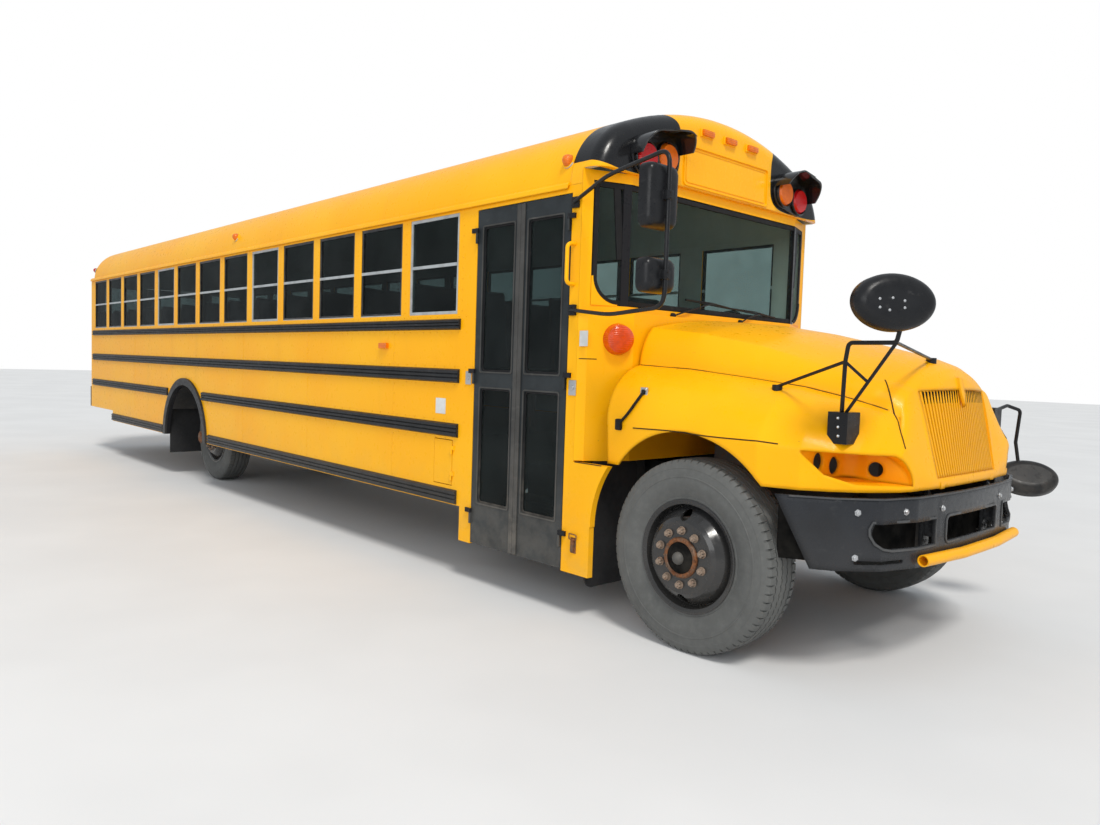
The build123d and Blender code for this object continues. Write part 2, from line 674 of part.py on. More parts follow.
# Front bumper: curved steel face with a wide air mouth parted by two bars
mouth_low_z = 678
mouth_high_z = 798
lip_slot_z = 615
with BuildPart() as front_bumper:
    with BuildSketch(Plane.XY.offset(bumper_low_z)):
        with BuildLine():
            outer = bumper_plan(0)
            inner = bumper_plan(bumper_sheet)
            Polyline(*outer[:4])
            ThreePointArc(outer[3], (bumper_nose_x, 0), outer[4])
            Polyline(*outer[4:], inner[7])
            Polyline(*reversed(inner[4:]))
            ThreePointArc(inner[4], (bumper_nose_x - bumper_sheet, 0), inner[3])
            Polyline(*reversed(inner[:4]), outer[0])
        make_face()
    extrude(amount=bumper_top_z - bumper_low_z)
    # Raked ends that clear the tyres
    for side in (1, -1):
        with BuildSketch(side_plane(side * 1300)):
            with BuildLine():
                Polyline((front_x + 400, bumper_low_z - 10), (front_x + 670, bumper_low_z - 10),
                         (front_x + 515, bumper_top_z + 10), (front_x + 400, bumper_top_z + 10), close=True)
            make_face()
        extrude(amount=side * 500, mode=Mode.SUBTRACT)
    # Air mouth
    with BuildSketch(cross_plane(front_x + 700)):
        with Locations((0, (mouth_low_z + mouth_high_z) / 2)):
            RectangleRounded(2 * 327, mouth_high_z - mouth_low_z, 22)
        for side in (1, -1):
            with BuildLine():
                Polyline((side * 454, mouth_low_z), (side * 454, mouth_high_z), (side * 868, mouth_high_z),
                         (side * 878, mouth_high_z - 40))
                ThreePointArc((side * 878, mouth_high_z - 40), (side * 852, mouth_low_z + 26),
                              (side * 770, mouth_low_z))
                Line((side * 770, mouth_low_z), (side * 454, mouth_low_z))
            make_face()
            with Locations((side * 820, lip_slot_z)):
                SlotOverall(240, 18)
    extrude(amount=400, mode=Mode.SUBTRACT)
    # Brackets to the rail ends, with the pins on which the hood tilts
    for side in (1, -1):
        with BuildSketch(side_plane(side * 390)):
            with BuildLine():
                Polyline((rail_front_x + seat_gap, 700), (bumper_nose_x - 18, 700), (bumper_nose_x - 18, 900),
                         (hood_pivot_x + 5, 900), (hood_pivot_x - 4, 915), (hood_pivot_x - 4, hood_pivot_z),
                         (hood_pivot_x - 20, hood_pivot_z), (rail_front_x + seat_gap, 870), close=True)
            make_face()
            with Locations((hood_pivot_x, hood_pivot_z)):
                Circle(2 * hinge_pin)
        extrude(amount=20, both=True)
        with Locations((rail_front_x + seat_gap, side * 395, (rail_low_z + rail_top_z) / 2)):
            Box(14, 90, rail_height, align=(Align.MIN, Align.CENTER, Align.CENTER))
        with Locations(Location((hood_pivot_x, side * 345, hood_pivot_z), (90, 0, 0))):
            Cylinder(hinge_pin, 90)
save(front_bumper.part, "front_bumper")

# Torn-off remainder of the crossing arm, a hollow yellow tube along the lower lip
arm_route = ((bumper_nose_x + 1.7, -610, 615), (bumper_nose_x + 32, -200, 610),
             (bumper_nose_x + 32, 250, 612), (bumper_nose_x + 2.7, 600, 618))
with BuildPart() as crossing_arm_stub:
    tube(arm_route, 29, 300)
    tube(arm_route, 23, 300, Mode.SUBTRACT)
save(crossing_arm_stub.part, "crossing_arm_stub")

# Rear bumper: deep channel with wrapped ends
with BuildPart() as rear_bumper:
    with Locations(((rear_bumper_x + tail_x) / 2, 0, 800)):
        Box(tail_x - rear_bumper_x, 2 * half_width, 300)
    fillet(rear_bumper.edges().filter_by(Axis.Z).sort_by(Axis.X)[:2], 60)
    with Locations((tail_x + 5 - 30, 0, 800)):
        Box(tail_x - rear_bumper_x, 2 * half_width - 40, 276, mode=Mode.SUBTRACT)
    with Locations((rear_bumper_x + 6, 0, 800)):
        Box(12, 2 * half_width - 160, 300)
save(rear_bumper.part, "rear_bumper")

# Hood with fenders and nose, one tilting moulding. The lean says how far the skin faces forward.
# columns: x forward of front axle, top z, shoulder y, z, seam y, z, fender y, z, lean
hood_table = (
    (-600, 1820, 790, 1742, 890, 1514, 1150, 1160, 0.0),
    (-250, 1796, 755, 1705, 842, 1498, 1166, 1165, 0.05),
    (100, 1742, 690, 1640, 785, 1462, 1170, 1158, 0.1),
    (400, 1680, 620, 1556, 722, 1425, 1155, 1152, 0.15),
    (600, 1632, 562, 1508, 672, 1382, 1095, 1136, 0.3),
    (720, 1602, 520, 1478, 638, 1350, 1000, 1126, 0.5),
    (800, 1574, 478, 1454, 612, 1325, 915, 1122, 0.7),
    (845, 1545, 436, 1432, 600, 1290, 850, 1119, 0.8),
    (875, 1500, 432, 1322, 642, 1222, 795, 1114, 0.85),
    (890, 1450, 430, 1259, 662, 1190, 765, 1112, 0.9),
    (915, 1299, 426, 1156, 672, 1146, 712, 1106, 0.95),
    (935, 1178, 415, 1071, 580, 1062, 640, 1030, 0.97),
    (955, 1057, 400, 988, 425, 984, 440, 976, 1.0),
    (965, 997, 200, 986, 215, 984, 226, 978, 1.0))


def hood_section(row, inset, low_z):
    """Closed section of the hood, set in from the outside, drawn in the current sketch."""
    x, top_z, shoulder_y, shoulder_z, seam_y, seam_z, fender_y, fender_z, lean = row
    across = inset * (1 - 0.7 * lean)
    down = inset * (1 - 0.75 * lean)
    shoulder = (shoulder_y - across * 0.5, shoulder_z - down)
    seam = (seam_y - across, seam_z - down * 0.5)
    fender = (fender_y - across, fender_z - down * 0.3)
    foot = (fender[0] - 12, low_z)
    flank = (shoulder[0] + (seam[0] - shoulder[0]) * 0.75, seam[1] + (shoulder[1] - seam[1]) * 0.52)
    bulge = (seam[0] + (fender[0] - seam[0]) * 0.68, fender[1] + (seam[1] - fender[1]) * (0.74 - 0.34 * lean))
    with BuildLine() as outline:
        ThreePointArc(shoulder, (0, top_z - down), (-shoulder[0], shoulder[1]))
        ThreePointArc((-shoulder[0], shoulder[1]), (-flank[0], flank[1]), (-seam[0], seam[1]))
        ThreePointArc((-seam[0], seam[1]), (-bulge[0], bulge[1]), (-fender[0], fender[1]))
        Polyline((-fender[0], fender[1]), (-foot[0], foot[1]), foot, fender)
        ThreePointArc(fender, bulge, seam)
        ThreePointArc(seam, flank, shoulder)
    make_face(outline.edges())


def hood_form(inset, low_z):
    """Solid hood, set in from the outside and open at the back where it is set in."""
    with BuildPart() as form:
        for index, row in enumerate(hood_table):
            x = row[0] - inset * row[-1] - (2 if inset and index == 0 else 0)
            with BuildSketch(cross_plane(front_x + x)):
                hood_section(row, inset, low_z)
        loft(ruled=True)
    return form.part


# The raked face of the nose, local x to the left and local y up along it
nose_plane = Plane(origin=(front_x + 849.4, 0, 1432), x_dir=(0, 1, 0), z_dir=(0.972, 0, 0.236))
grille_drop = 452
grille_high_half = 418
grille_low_half = 378


def grille_bar(margin):
    """Bar through the tapered outline of the grille, square to the nose."""
    with BuildPart() as bar:
        with BuildSketch(nose_plane.offset(-60)):
            with BuildLine():
                Polyline((margin - grille_high_half, -6 - margin),
                         (margin - grille_low_half, margin - grille_drop),
                         (grille_low_half - margin, margin - grille_drop),
                         (grille_high_half - margin, -6 - margin),
                         close=True)
            make_face()
        extrude(amount=180)
    return bar.part


# The lamp pocket seen square to the right front corner, local x forward from its rear tip
lamp_plane = Plane(origin=(front_x + 590, -1100, 0), x_dir=(0.589, 0.808, 0), z_dir=(0.808, -0.589, 0))
pocket_wall = 12
pocket_back_x = front_x + 600


def lamp_pocket(margin):
    """Right lamp pocket grown by a margin: the bay behind its outline on the corner."""
    with BuildPart() as pocket:
        with BuildSketch(lamp_plane.offset(-400)):
            with BuildLine():
                Polyline((594, 968), (457, 974), (269, 980), (123, 1022), (0, 1134), (183, 1127), (473, 1116))
                ThreePointArc((473, 1116), (556, 1056), (594, 968))
            make_face()
            if margin:
                offset(amount=margin)
        extrude(amount=600)
        with BuildSketch(Plane.XY.offset(900)):
            with BuildLine():
                Polyline((pocket_back_x - margin, -1300), (pocket_back_x - margin, -750))
                ThreePointArc((pocket_back_x - margin, -750), (pocket_back_x + 26, -676 + margin * 0.7),
                              (pocket_back_x + 110, -646 + margin))
                Polyline((pocket_back_x + 110, -646 + margin), (pocket_back_x + 600, -560 + margin),
                         (pocket_back_x + 600, -1300), (pocket_back_x - margin, -1300))
            make_face()
        extrude(amount=400, mode=Mode.INTERSECT)
    return pocket.part


outer_form = hood_form(0, hood_low_z)
right_pocket = lamp_pocket(pocket_wall) & outer_form
right_recess = lamp_pocket(0)
with BuildPart() as hood:
    add(outer_form)
    add(hood_form(hood_sheet, hood_low_z - 5), mode=Mode.SUBTRACT)
    # Lamp pockets, empty: walls, recess and the three holes for the missing lamps
    add(right_pocket)
    add(mirror(right_pocket, about=Plane.XZ))
    add(right_recess, mode=Mode.SUBTRACT)
    add(mirror(right_recess, about=Plane.XZ), mode=Mode.SUBTRACT)
    for side in (1, -1):
        with BuildSketch(cross_plane(pocket_back_x - 40)):
            for y, z in ((920, 1069), (766, 1041)):
                with Locations((side * y, z)):
                    Circle(45)
        extrude(amount=50, mode=Mode.SUBTRACT)
        with Locations(Location((front_x + 754, side * 635, 1031), (90, 0, 0))):
            Cylinder(37, 90, mode=Mode.SUBTRACT)
        # Wheel arch
        with BuildSketch(side_plane(side * 1300)):
            with Locations((front_arch_x, front_arch_z)):
                Circle(front_arch_radius)
        extrude(amount=side * 700, mode=Mode.SUBTRACT)
        # Hinge lug on its pin
        with Locations((hood_pivot_x + 10, side * 330, hood_pivot_z + 4)):
            Box(54, 50, 34)
        with Locations(Location((hood_pivot_x, side * 330, hood_pivot_z), (90, 0, 0))):
            Cylinder(hinge_pin + running_gap, 60, mode=Mode.SUBTRACT)
    # Bare pointed boss over the top of the grille
    with BuildSketch(nose_plane.offset(20)):
        with BuildLine():
            Polyline((0, -110), (32, -30), (27, 62), (-27, 62), (-32, -30), close=True)
        make_face()
    extrude(amount=34, taper=8)
    add(grille_bar(0) & hood_form(-1, hood_low_z), mode=Mode.SUBTRACT)
save(hood.part, "hood")

# Ribbed grille panel, bowed like the nose it sits in; each groove ends in a pointed slot at the top
rib_count = 29
rib_width = 15
rib_height = 7
panel_depth = 6


def grille_comb(drop, half, pitch, crown, sagitta):
    """Comb outline across the grille, a given way down its face."""

    def face(y):
        return crown - sagitta * (y / half) ** 2

    outline = [(-half, face(half) - rib_height)]
    for index in range(rib_count):
        middle = (index - (rib_count - 1) / 2) * pitch
        for edge in (-1, 1):
            y = middle + edge * rib_width / 2
            outline += [(y, face(y) - depth) for depth in (rib_height, 0)[::-edge]]
    outline.append((half, face(half) - rib_height))
    for step in range(4, -5, -1):
        y = step * half / 4
        outline.append((y, face(y) - rib_height - panel_depth))
    level = Plane(origin=nose_plane.origin - nose_plane.y_dir * drop, x_dir=(0, 1, 0),
                  z_dir=-nose_plane.y_dir)
    with BuildSketch(level) as comb:
        with BuildLine():
            Polyline(*outline, close=True)
        make_face()
    return comb.sketch


with BuildPart() as grille:
    add(grille_comb(6 + seat_gap, grille_high_half - 2 * seat_gap, 28.4, 38, 41))
    add(grille_comb(grille_drop - seat_gap, grille_low_half - 2 * seat_gap, 25.4, 6, 9))
    loft(ruled=True)
    with BuildSketch(nose_plane.offset(-60)):
        for index in range(rib_count - 1):
            y = (index - rib_count / 2 + 1) * 28.2
            with BuildLine():
                Polyline((y - 5, -16), (y, -60), (y + 5, -16), close=True)
            make_face()
    extrude(amount=180, mode=Mode.SUBTRACT)
save(grille.part, "grille")

# Steering knuckles on the kingpins, with spindles for the hubs
for side, name in ((-1, "right_knuckle"), (1, "left_knuckle")):
    with BuildPart() as knuckle:
        with Locations((front_x, side * kingpin_y, axle_z + 75), (front_x, side * kingpin_y, axle_z - 75)):
            Cylinder(44, 38)
            Cylinder(20 + running_gap, 40, mode=Mode.SUBTRACT)
        for level in (75, -75):
            with Locations((front_x, side * (kingpin_y + 52), axle_z + level)):
                Box(80, 34, 38)
        with Locations((front_x, side * (kingpin_y + 62), axle_z)):
            Box(90, 26, 188)
        with Locations(Location((front_x, side * (kingpin_y + 200), axle_z), (90, 0, 0))):
            Cylinder(spindle_radius, 260)
        with Locations((front_x - 110, side * (kingpin_y + 62), axle_z - 85)):
            Box(170, 26, 30)
    save(knuckle.part, name)


def tyre_profile(centre_y):
    """Half section of a tyre, drawn in the current sketch about the axle height."""
    half = tyre_width / 2
    bead = axle_z + bead_radius + running_gap
    foot = axle_z + bead_radius + 34
    belly = axle_z + (bead_radius + tyre_radius) / 2 + 4.5
    edge = axle_z + tyre_radius - 27
    with BuildLine() as outline:
        Polyline((centre_y - 105, bead), (centre_y + 105, bead), (centre_y + 105, foot))
        ThreePointArc((centre_y + 105, foot), (centre_y + half, belly), (centre_y + half - 14, edge))
        Polyline((centre_y + half - 14, edge), (centre_y + half - 34, axle_z + tyre_radius - 5),
                 (centre_y, axle_z + tyre_radius), (centre_y - half + 34, axle_z + tyre_radius - 5),
                 (centre_y - half + 14, edge))
        ThreePointArc((centre_y - half + 14, edge), (centre_y - half, belly), (centre_y - 105, foot))
        Line((centre_y - 105, foot), (centre_y - 105, bead))
    make_face(outline.edges())


def rim_profile(centre_y, outward):
    """Half section of a rim and its disc; outward is the way the disc bulges."""
    def at(offset, radius):
        return (centre_y + outward * offset, axle_z + radius)
    with BuildLine() as outline:
        Polyline(at(-118, 303), at(-106, 303), at(-106, 286), at(-60, 280), at(-50, 262), at(20, 262),
                 at(40, 280), at(106, 286), at(106, 303), at(118, 303), at(118, 294), at(112, 276),
                 at(70, 262), at(110, 240), at(146, 212), at(mount_offset, 190), at(mount_offset, 100),
                 at(mount_offset - disc_sheet, 100), at(mount_offset - disc_sheet, 184), at(136, 204),
                 at(100, 230), at(60, 252), at(-56, 252), at(-68, 272),
                 at(-112, 278), at(-118, 290), close=True)
    make_face(outline.edges())


def hub_profile(centre_y, outward, cap_end):
    """Half section of the hub that carries a disc on its bolting face."""
    def at(offset, radius):
        return (centre_y + outward * offset, axle_z + radius)
    bore = spindle_radius + running_gap
    face = mount_offset - disc_sheet
    with BuildLine() as outline:
        Polyline(at(face, bore), at(face, 170), at(face - 26, 170), at(face - 46, 100), at(face - 106, 90),
                 at(face - 106, bore), close=True)
    make_face(outline.edges())
    with BuildLine() as outline:
        Polyline(at(face - 1, bore), at(face - 1, 96), at(mount_offset + cap_end * 0.5, 80),
                 at(mount_offset + cap_end, 60), at(mount_offset + cap_end, 0),
                 at(mount_offset + cap_end - 10, 0),
                 at(mount_offset + cap_end - 10, bore), close=True)
    make_face(outline.edges())


# columns: name, axle station, side, tyre centres, directions in which each disc bulges, hub cap length
wheel_table = (
    ("front_right", front_x, -1, (track_front,), (1,), 22),
    ("front_left", front_x, 1, (track_front,), (1,), 22),
    ("rear_right", rear_x, -1, (dual_inner_y,), (1,), 130),
    ("rear_left", rear_x, 1, (dual_inner_y, dual_outer_y), (1, -1), 130))
for name, axle_x, side, centres, bulges, cap_end in wheel_table:
    spin_axis = Axis((axle_x, 0, axle_z), (0, 1, 0))
    with BuildPart() as tyre:
        with BuildSketch(cross_plane(axle_x)):
            for centre in centres:
                tyre_profile(side * centre)
        revolve(axis=spin_axis)
    save(tyre.part, name + "_tyre")
    with BuildPart() as rim:
        with BuildSketch(cross_plane(axle_x)):
            for centre, bulge in zip(centres, bulges):
                rim_profile(side * centre, side * bulge)
        revolve(axis=spin_axis)
        with BuildSketch(cross_plane(axle_x)):
            hub_profile(side * centres[0], side, cap_end)
        revolve(axis=spin_axis)
        stud_y = side * (centres[0] + mount_offset + disc_sheet * (len(centres) - 1))
        with BuildSketch(side_plane(stud_y)):
            with Locations((axle_x, axle_z)):
                with PolarLocations(bolt_circle / 2, nut_count, start_angle=18):
                    RegularPolygon(18, 6)
        extrude(amount=-side * 24)
        # Hand holes through the slope of each disc
        for centre, bulge in zip(centres, bulges):
            for way in (1, -1):
                hole = (axle_x, side * (centre + bulge * 115), axle_z + way * hand_hole_r)
                with Locations(Location(hole, (90, 0, 0))):
                    Cylinder(28, 110, mode=Mode.SUBTRACT)
    save(rim.part, name + "_rim")

# Entrance door: two outward leaves hung on the outer edges
leaf_width = door_width / 2 - 1.5 * door_gap
leaf_height = door_high_z - door_low_z
leaf_z = (door_high_z + door_low_z) / 2
stile = 62
upper_pane = (1440, 2390)
lower_pane = (560, 1330)
# columns: name, hinge station, direction from the hinge to the meeting edge
leaf_table = (("entry_door_rear", door_rear_x + door_gap, 1),
              ("entry_door_front", door_front_x - door_gap, -1))
for name, edge_x, way in leaf_table:
    centre_x = edge_x + way * leaf_width / 2
    with BuildPart() as door_leaf:
        with BuildSketch(side_plane(-half_width)):
            with Locations((centre_x, leaf_z)):
                Rectangle(leaf_width, leaf_height)
            for low, high in (upper_pane, lower_pane):
                with Locations((centre_x, (low + high) / 2)):
                    RectangleRounded(leaf_width - 2 * stile, high - low, 30, mode=Mode.SUBTRACT)
        extrude(amount=-leaf)
        for z in entry_hinge_zs:
            with Locations((edge_x + way * 6, hinge_y, z)):
                Cylinder(9, 70)
                Box(12, 28, 70, align=(Align.CENTER, Align.MIN, Align.CENTER))
    save(door_leaf.part, name)
    with BuildPart() as door_pane:
        with BuildSketch(side_plane(-half_width + 14)):
            for low, high in (upper_pane, lower_pane):
                with Locations((centre_x, (low + high) / 2)):
                    RectangleRounded(leaf_width - 2 * stile - 0.6, high - low - 0.6, 30)
        extrude(amount=-glass)
    save(door_pane.part, name + "_glass")

# Rear emergency door, hung on the right
rear_door_height = rear_door_high_z - rear_door_low_z
with BuildPart() as rear_door:
    with BuildSketch(cross_plane(tail_x)):
        with Locations((0, (rear_door_low_z + rear_door_high_z) / 2)):
            Rectangle(2 * rear_door_half, rear_door_height)
        for low, high in ((1180, 1640), (1790, 2390)):
            with Locations((0, (low + high) / 2)):
                RectangleRounded(2 * rear_door_half - 200, high - low, 40, mode=Mode.SUBTRACT)
    extrude(amount=leaf)
    for z in rear_hinge_zs:
        with Locations((rear_hinge_x, rear_hinge_y, z)):
            Cylinder(10, 90)
            Box(30, 16, 90, align=(Align.MIN, Align.CENTER, Align.CENTER))
    with Locations((tail_x - 25, 300, 1715)):
        Box(50, 60, 60)
        Box(20, 200, 30)
save(rear_door.part, "rear_door")
with BuildPart() as rear_door_glass:
    with BuildSketch(cross_plane(tail_x + 14)):
        for low, high in ((1180, 1640), (1790, 2390)):
            with Locations((0, (low + high) / 2)):
                RectangleRounded(2 * rear_door_half - 200.6, high - low - 0.6, 40)
    extrude(amount=glass)
save(rear_door_glass.part, "rear_door_glass")

# Stop arm blade on the left wall, hinged at its front edge
stop_x = front_x - 2150
stop_z = 1580
stop_y = half_width + 52
stop_radius = 240
with BuildPart() as stop_arm:
    with BuildSketch(side_plane(stop_y + 6)):
        with Locations((stop_x - 300, stop_z)):
            RegularPolygon(stop_radius, 8, rotation=22.5)
        with Locations((stop_x - 60, stop_z)):
            Rectangle(120, 160)
    extrude(amount=12)
    with Locations((stop_x, stop_y, stop_z)):
        Cylinder(12, 160)
save(stop_arm.part, "stop_arm")
with BuildPart() as stop_arm_box:
    with Locations((stop_x + 75, half_width, stop_z)):
        Box(110, 70, 200, align=(Align.CENTER, Align.MIN, Align.CENTER))
    for level in (87.4, -87.4):
        with Locations((stop_x + 10, stop_y, stop_z + level)):
            Box(46, 26, 14)
save(stop_arm_box.part, "stop_arm_box")

# Warning lamps, front and rear, and their black pods and visors
# columns: distance from the middle, height
warning_places = ((655, 2775), (845, 2745))
lamp_radius = 89
with BuildPart() as warning_lamps:
    for side in (1, -1):
        for y, z in warning_places:
            with Locations(Location((cap_front_x + 34, side * y, z), (0, 90, 0))):
                Cone(lamp_radius, lamp_radius - 14, 28)
            with Locations(Location((tail_x - 14.3, side * y, z - 20), (0, -90, 0))):
                Cone(lamp_radius, lamp_radius - 14, 28)
save(warning_lamps.part, "warning_lamps")

with BuildPart() as lamp_visors:
    for side in (1, -1):
        with BuildSketch(cross_plane(cap_front_x + 0.3)):
            with Locations((side * 750, 2775)):
                RectangleRounded(430, 240, 110, rotation=-side * 9)
        extrude(amount=19)
        with BuildSketch(cross_plane(cap_front_x + 10)):
            with Locations((side * 750, 2775)):
                RectangleRounded(430, 240, 110, rotation=-side * 9)
                RectangleRounded(410, 220, 100, rotation=-side * 9, mode=Mode.SUBTRACT)
                with Locations((0, -90)):
                    Rectangle(460, 180, rotation=-side * 9, mode=Mode.SUBTRACT)
        extrude(amount=180)
        # Lip cut back towards its lower corners
        with BuildSketch(side_plane(side * 1100)):
            with BuildLine():
                Polyline((cap_front_x + 182, 2890), (cap_front_x + 60, 2690), (cap_front_x + 250, 2690),
                         (cap_front_x + 250, 2890), close=True)
            make_face()
        extrude(amount=side * 800, mode=Mode.SUBTRACT)
        with BuildSketch(cross_plane(tail_x - 0.3)):
            with Locations((side * 750, 2745)):
                RectangleRounded(410, 230, 100, rotation=-side * 9)
                for y, z in warning_places:
                    with Locations((side * (y - 750), z - 20 - 2745)):
                        Circle(lamp_radius + 1, mode=Mode.SUBTRACT)
        extrude(amount=-60)
save(lamp_visors.part, "lamp_visors")

# Amber clearance and side marker lamps
with BuildPart() as marker_lamps:
    for y in (-248, 0, 248):
        with Locations((cap_front_x + 10.3, y, 3006)):
            Box(20, 110, 36)
    for side in (1, -1):
        with Locations((front_x - 2917, side * (half_width + 12.3), 1604)):
            Box(110, 24, 40)
        lamp_seat = Plane(origin=(front_x - 663, side * 1020, 1660), z_dir=(0.9013, side * 0.4333, 0))
        with BuildSketch(lamp_seat.offset(0.4)):
            Circle(92)
        extrude(amount=50, taper=14)
save(marker_lamps.part, "marker_lamps")

# Rear lamps: stop, turn and reversing lamps in the rear wall
with BuildPart() as rear_lamps:
    for side in (1, -1):
        for y, z, radius in ((850, 1560, 89), (1060, 1560, 89), (850, 1330, 50), (1060, 1330, 50)):
            with Locations(Location((tail_x - 12.3, side * y, z), (0, 90, 0))):
                Cylinder(radius, 24)
save(rear_lamps.part, "rear_lamps")

# Dashboard across the cowl
with BuildPart() as dashboard:
    with BuildSketch(side_plane(1000)):
        with BuildLine():
            Polyline((bulkhead_x - wall - 140, 1000 + 10.3), (bulkhead_x - wall - 0.3 - 130, 1779.7),
                     (front_x - 900, 1779.7), (front_x - 1010, 1700), (front_x - 1000, 1420),
                     (front_x - 900, 1300), (front_x - 830, 1010.3), close=True)
        make_face()
    extrude(amount=1450)
save(dashboard.part, "dashboard")

# Steering wheel and column in front of the driver's chair
wheel_y = 560
wheel_centre = Vector(front_x - 1130, wheel_y, 1790)
column_foot = Vector(front_x - 870, wheel_y, 1480)
with BuildPart() as steering_wheel:
    column = column_foot - wheel_centre
    with BuildSketch(Plane(origin=wheel_centre, z_dir=column)):
        Circle(28)
    extrude(amount=153)
    with Locations(Plane(origin=wheel_centre, z_dir=column).location):
        Torus(215, 16)
        Cylinder(60, 30)
        for turn in (0, 120, 240):
            with Locations(Location((0, 0, 0), (0, 0, turn))):
                Box(210, 26, 14, align=(Align.MIN, Align.CENTER, Align.CENTER))
save(steering_wheel.part, "steering_wheel")

# Driver's chair on its pedestal
with BuildPart() as driver_seat:
    with Locations((front_x - 1600, wheel_y, floor_z + 0.3)):
        Box(300, 300, 340, align=(Align.CENTER, Align.CENTER, Align.MIN))
    with Locations((front_x - 1580, wheel_y, floor_z + 400)):
        Box(500, 500, 120)
    with Locations(Location((front_x - 1860, wheel_y, floor_z + 740), (0, -8, 0))):
        Box(120, 480, 700)
save(driver_seat.part, "driver_seat")

# Passenger benches: cushions on legs, tall padded backs, two to a row
bench_width = 960
bench_rows = 13
with BuildPart() as bench_cushions:
    for side in (1, -1):
        for row in range(bench_rows):
            x = first_window_x - 60 - window_pitch * row
            y = side * (inner_half - 0.3 - bench_width / 2)
            low = floor_z + 330
            with Locations((x, y, low + 60)):
                Box(380, bench_width, 120)
            with Locations((x, y - side * 400, (floor_z + low) / 2)):
                Box(300, 30, low - floor_z)
save(bench_cushions.part, "bench_cushions")
with BuildPart() as bench_backs:
    for side in (1, -1):
        for row in range(bench_rows):
            x = first_window_x - 60 - window_pitch * row
            y = side * (inner_half - 0.3 - bench_width / 2)
            with BuildSketch(side_plane(y + bench_width / 2)):
                with BuildLine():
                    Polyline((x - 190.3, floor_z + 330), (x - 300, floor_z + 1090), (x - 350, floor_z + 1090),
                             (x - 290, floor_z + 330), close=True)
                make_face()
            extrude(amount=bench_width)
save(bench_backs.part, "bench_backs")


def mirror_head(centre, height):
    """Rounded mirror housing, flat towards the driver."""
    with BuildPart() as head:
        with BuildSketch(Plane(origin=centre, x_dir=(0, 1, 0), z_dir=(1, 0, 0))):
            RectangleRounded(220, height, 42)
        extrude(amount=35, both=True)
        fillet(head.faces().sort_by(Axis.X)[-1].edges(), 30)
    return head.part


def rod(start, end, radius):
    """Straight round bar added to the current part."""
    way = Vector(end) - Vector(start)
    with BuildSketch(Plane(origin=start, z_dir=way)) as profile:
        Circle(radius)
    extrude(profile.sketch, amount=way.length)


# Side mirrors on bent tube arms, both sides
mirror_x = front_x - 15
mirror_y = half_width + 231
mirror_bend_y = half_width + 111
with BuildPart() as side_mirrors:
    for side in (1, -1):
        y_wall = side * (half_width + 22)
        y_out = side * mirror_y
        y_bend = side * mirror_bend_y
        tube(((front_x - 840, y_wall, 2444), (front_x - 500, y_bend, 2530), (mirror_x + 20, y_out, 2560),
              (mirror_x + 20, y_out, 1800), (front_x - 450, y_bend, 1780), (front_x - 840, y_wall, 1822)),
             11, 60)
        for z in (2444, 1822):
            with Locations((front_x - 840, side * (half_width + 11), z)):
                Box(50, 22, 60)
        add(mirror_head((mirror_x - 10, y_out, 2340), 300))
        add(mirror_head((mirror_x - 10, y_out, 1955), 160))
save(side_mirrors.part, "side_mirrors")

# Crossview mirrors on the fenders; the left one hangs down on its slipped arm
def mirror_dish(centre, facing):
    """Oval convex mirror dish; facing points out of its mirror face."""
    with BuildPart() as dish:
        with BuildSketch(Plane(origin=centre, x_dir=Vector(facing).cross(Vector(0, 0, 1)), z_dir=facing)):
            Ellipse(190, 125)
        extrude(amount=-80)
        fillet(dish.faces().sort_by(Axis(centre, facing))[0].edges(), 55)
    return dish.part


right_dish = mirror_dish((front_x + 1020, -1100, 1810), (-0.84, 0.54, -0.1))
right_dish.position += (front_x + front_reach - right_dish.bounding_box().max.X, 0, 0)
left_dish = mirror_dish((front_x + 830, 1300, 850), (-0.5, 0.6, -0.62))
mirror_feet = []
for side in (1, -1):
    with BuildPart() as base_plate:
        with Locations((front_x + 722, side * 920, 1245)):
            Box(100, 120, 150)
        add(outer_form, mode=Mode.SUBTRACT)
    mirror_feet.append(base_plate.part.moved(Location((0, side * 0.5, 0))))
# columns: x forward of the front axle, y, z of the two feet on the hood
brace_feet = ((342, -900, 1412), (773, -104, 1578))
for x, y, z in brace_feet:
    with BuildPart() as foot:
        with Locations((front_x + x, y, z)):
            Cylinder(26, 44)
        add(outer_form, mode=Mode.SUBTRACT)
    mirror_feet.append(foot.part.moved(Location((0, 0, 0.5))))
arm_knee = (front_x + 785, -1055, 1556)
arm_head = (front_x + 1020, -1060, 1643)
brace_foot = (front_x + 735, -945, 1305)
with BuildPart() as crossview_mirrors:
    add(mirror_feet)
    tube(((front_x + 722, -945, 1290), arm_knee, (front_x + 800, -1060, 1642), arm_head,
          (front_x + 1070, -1110, 1760)), 10, 24)
    rod(brace_foot, arm_head, 8)
    rod(arm_knee, (front_x + 870, -1000, 1466), 7)
    for (x, y, z), end in zip(brace_feet, (arm_knee, arm_head)):
        rod((front_x + x, y, z + 14), end, 8)
    add(right_dish)
    tube(((front_x + 722, 945, 1290), (front_x + 735, 1180, 1330), (front_x + 780, 1290, 1300),
          (front_x + 760, 1300, 1090), (front_x + 800, 1290, 880)), 11, 30)
    add(left_dish)
save(crossview_mirrors.part, "crossview_mirrors")

# Grab handle ahead of the door, wipers and mudflaps
with BuildPart() as grab_handle:
    tube(((front_x - 845, -half_width, 1973), (front_x - 845, -half_width - 60, 1973),
          (front_x - 845, -half_width - 60, 2206), (front_x - 845, -half_width, 2206)), 12, 30)
save(grab_handle.part, "grab_handle")

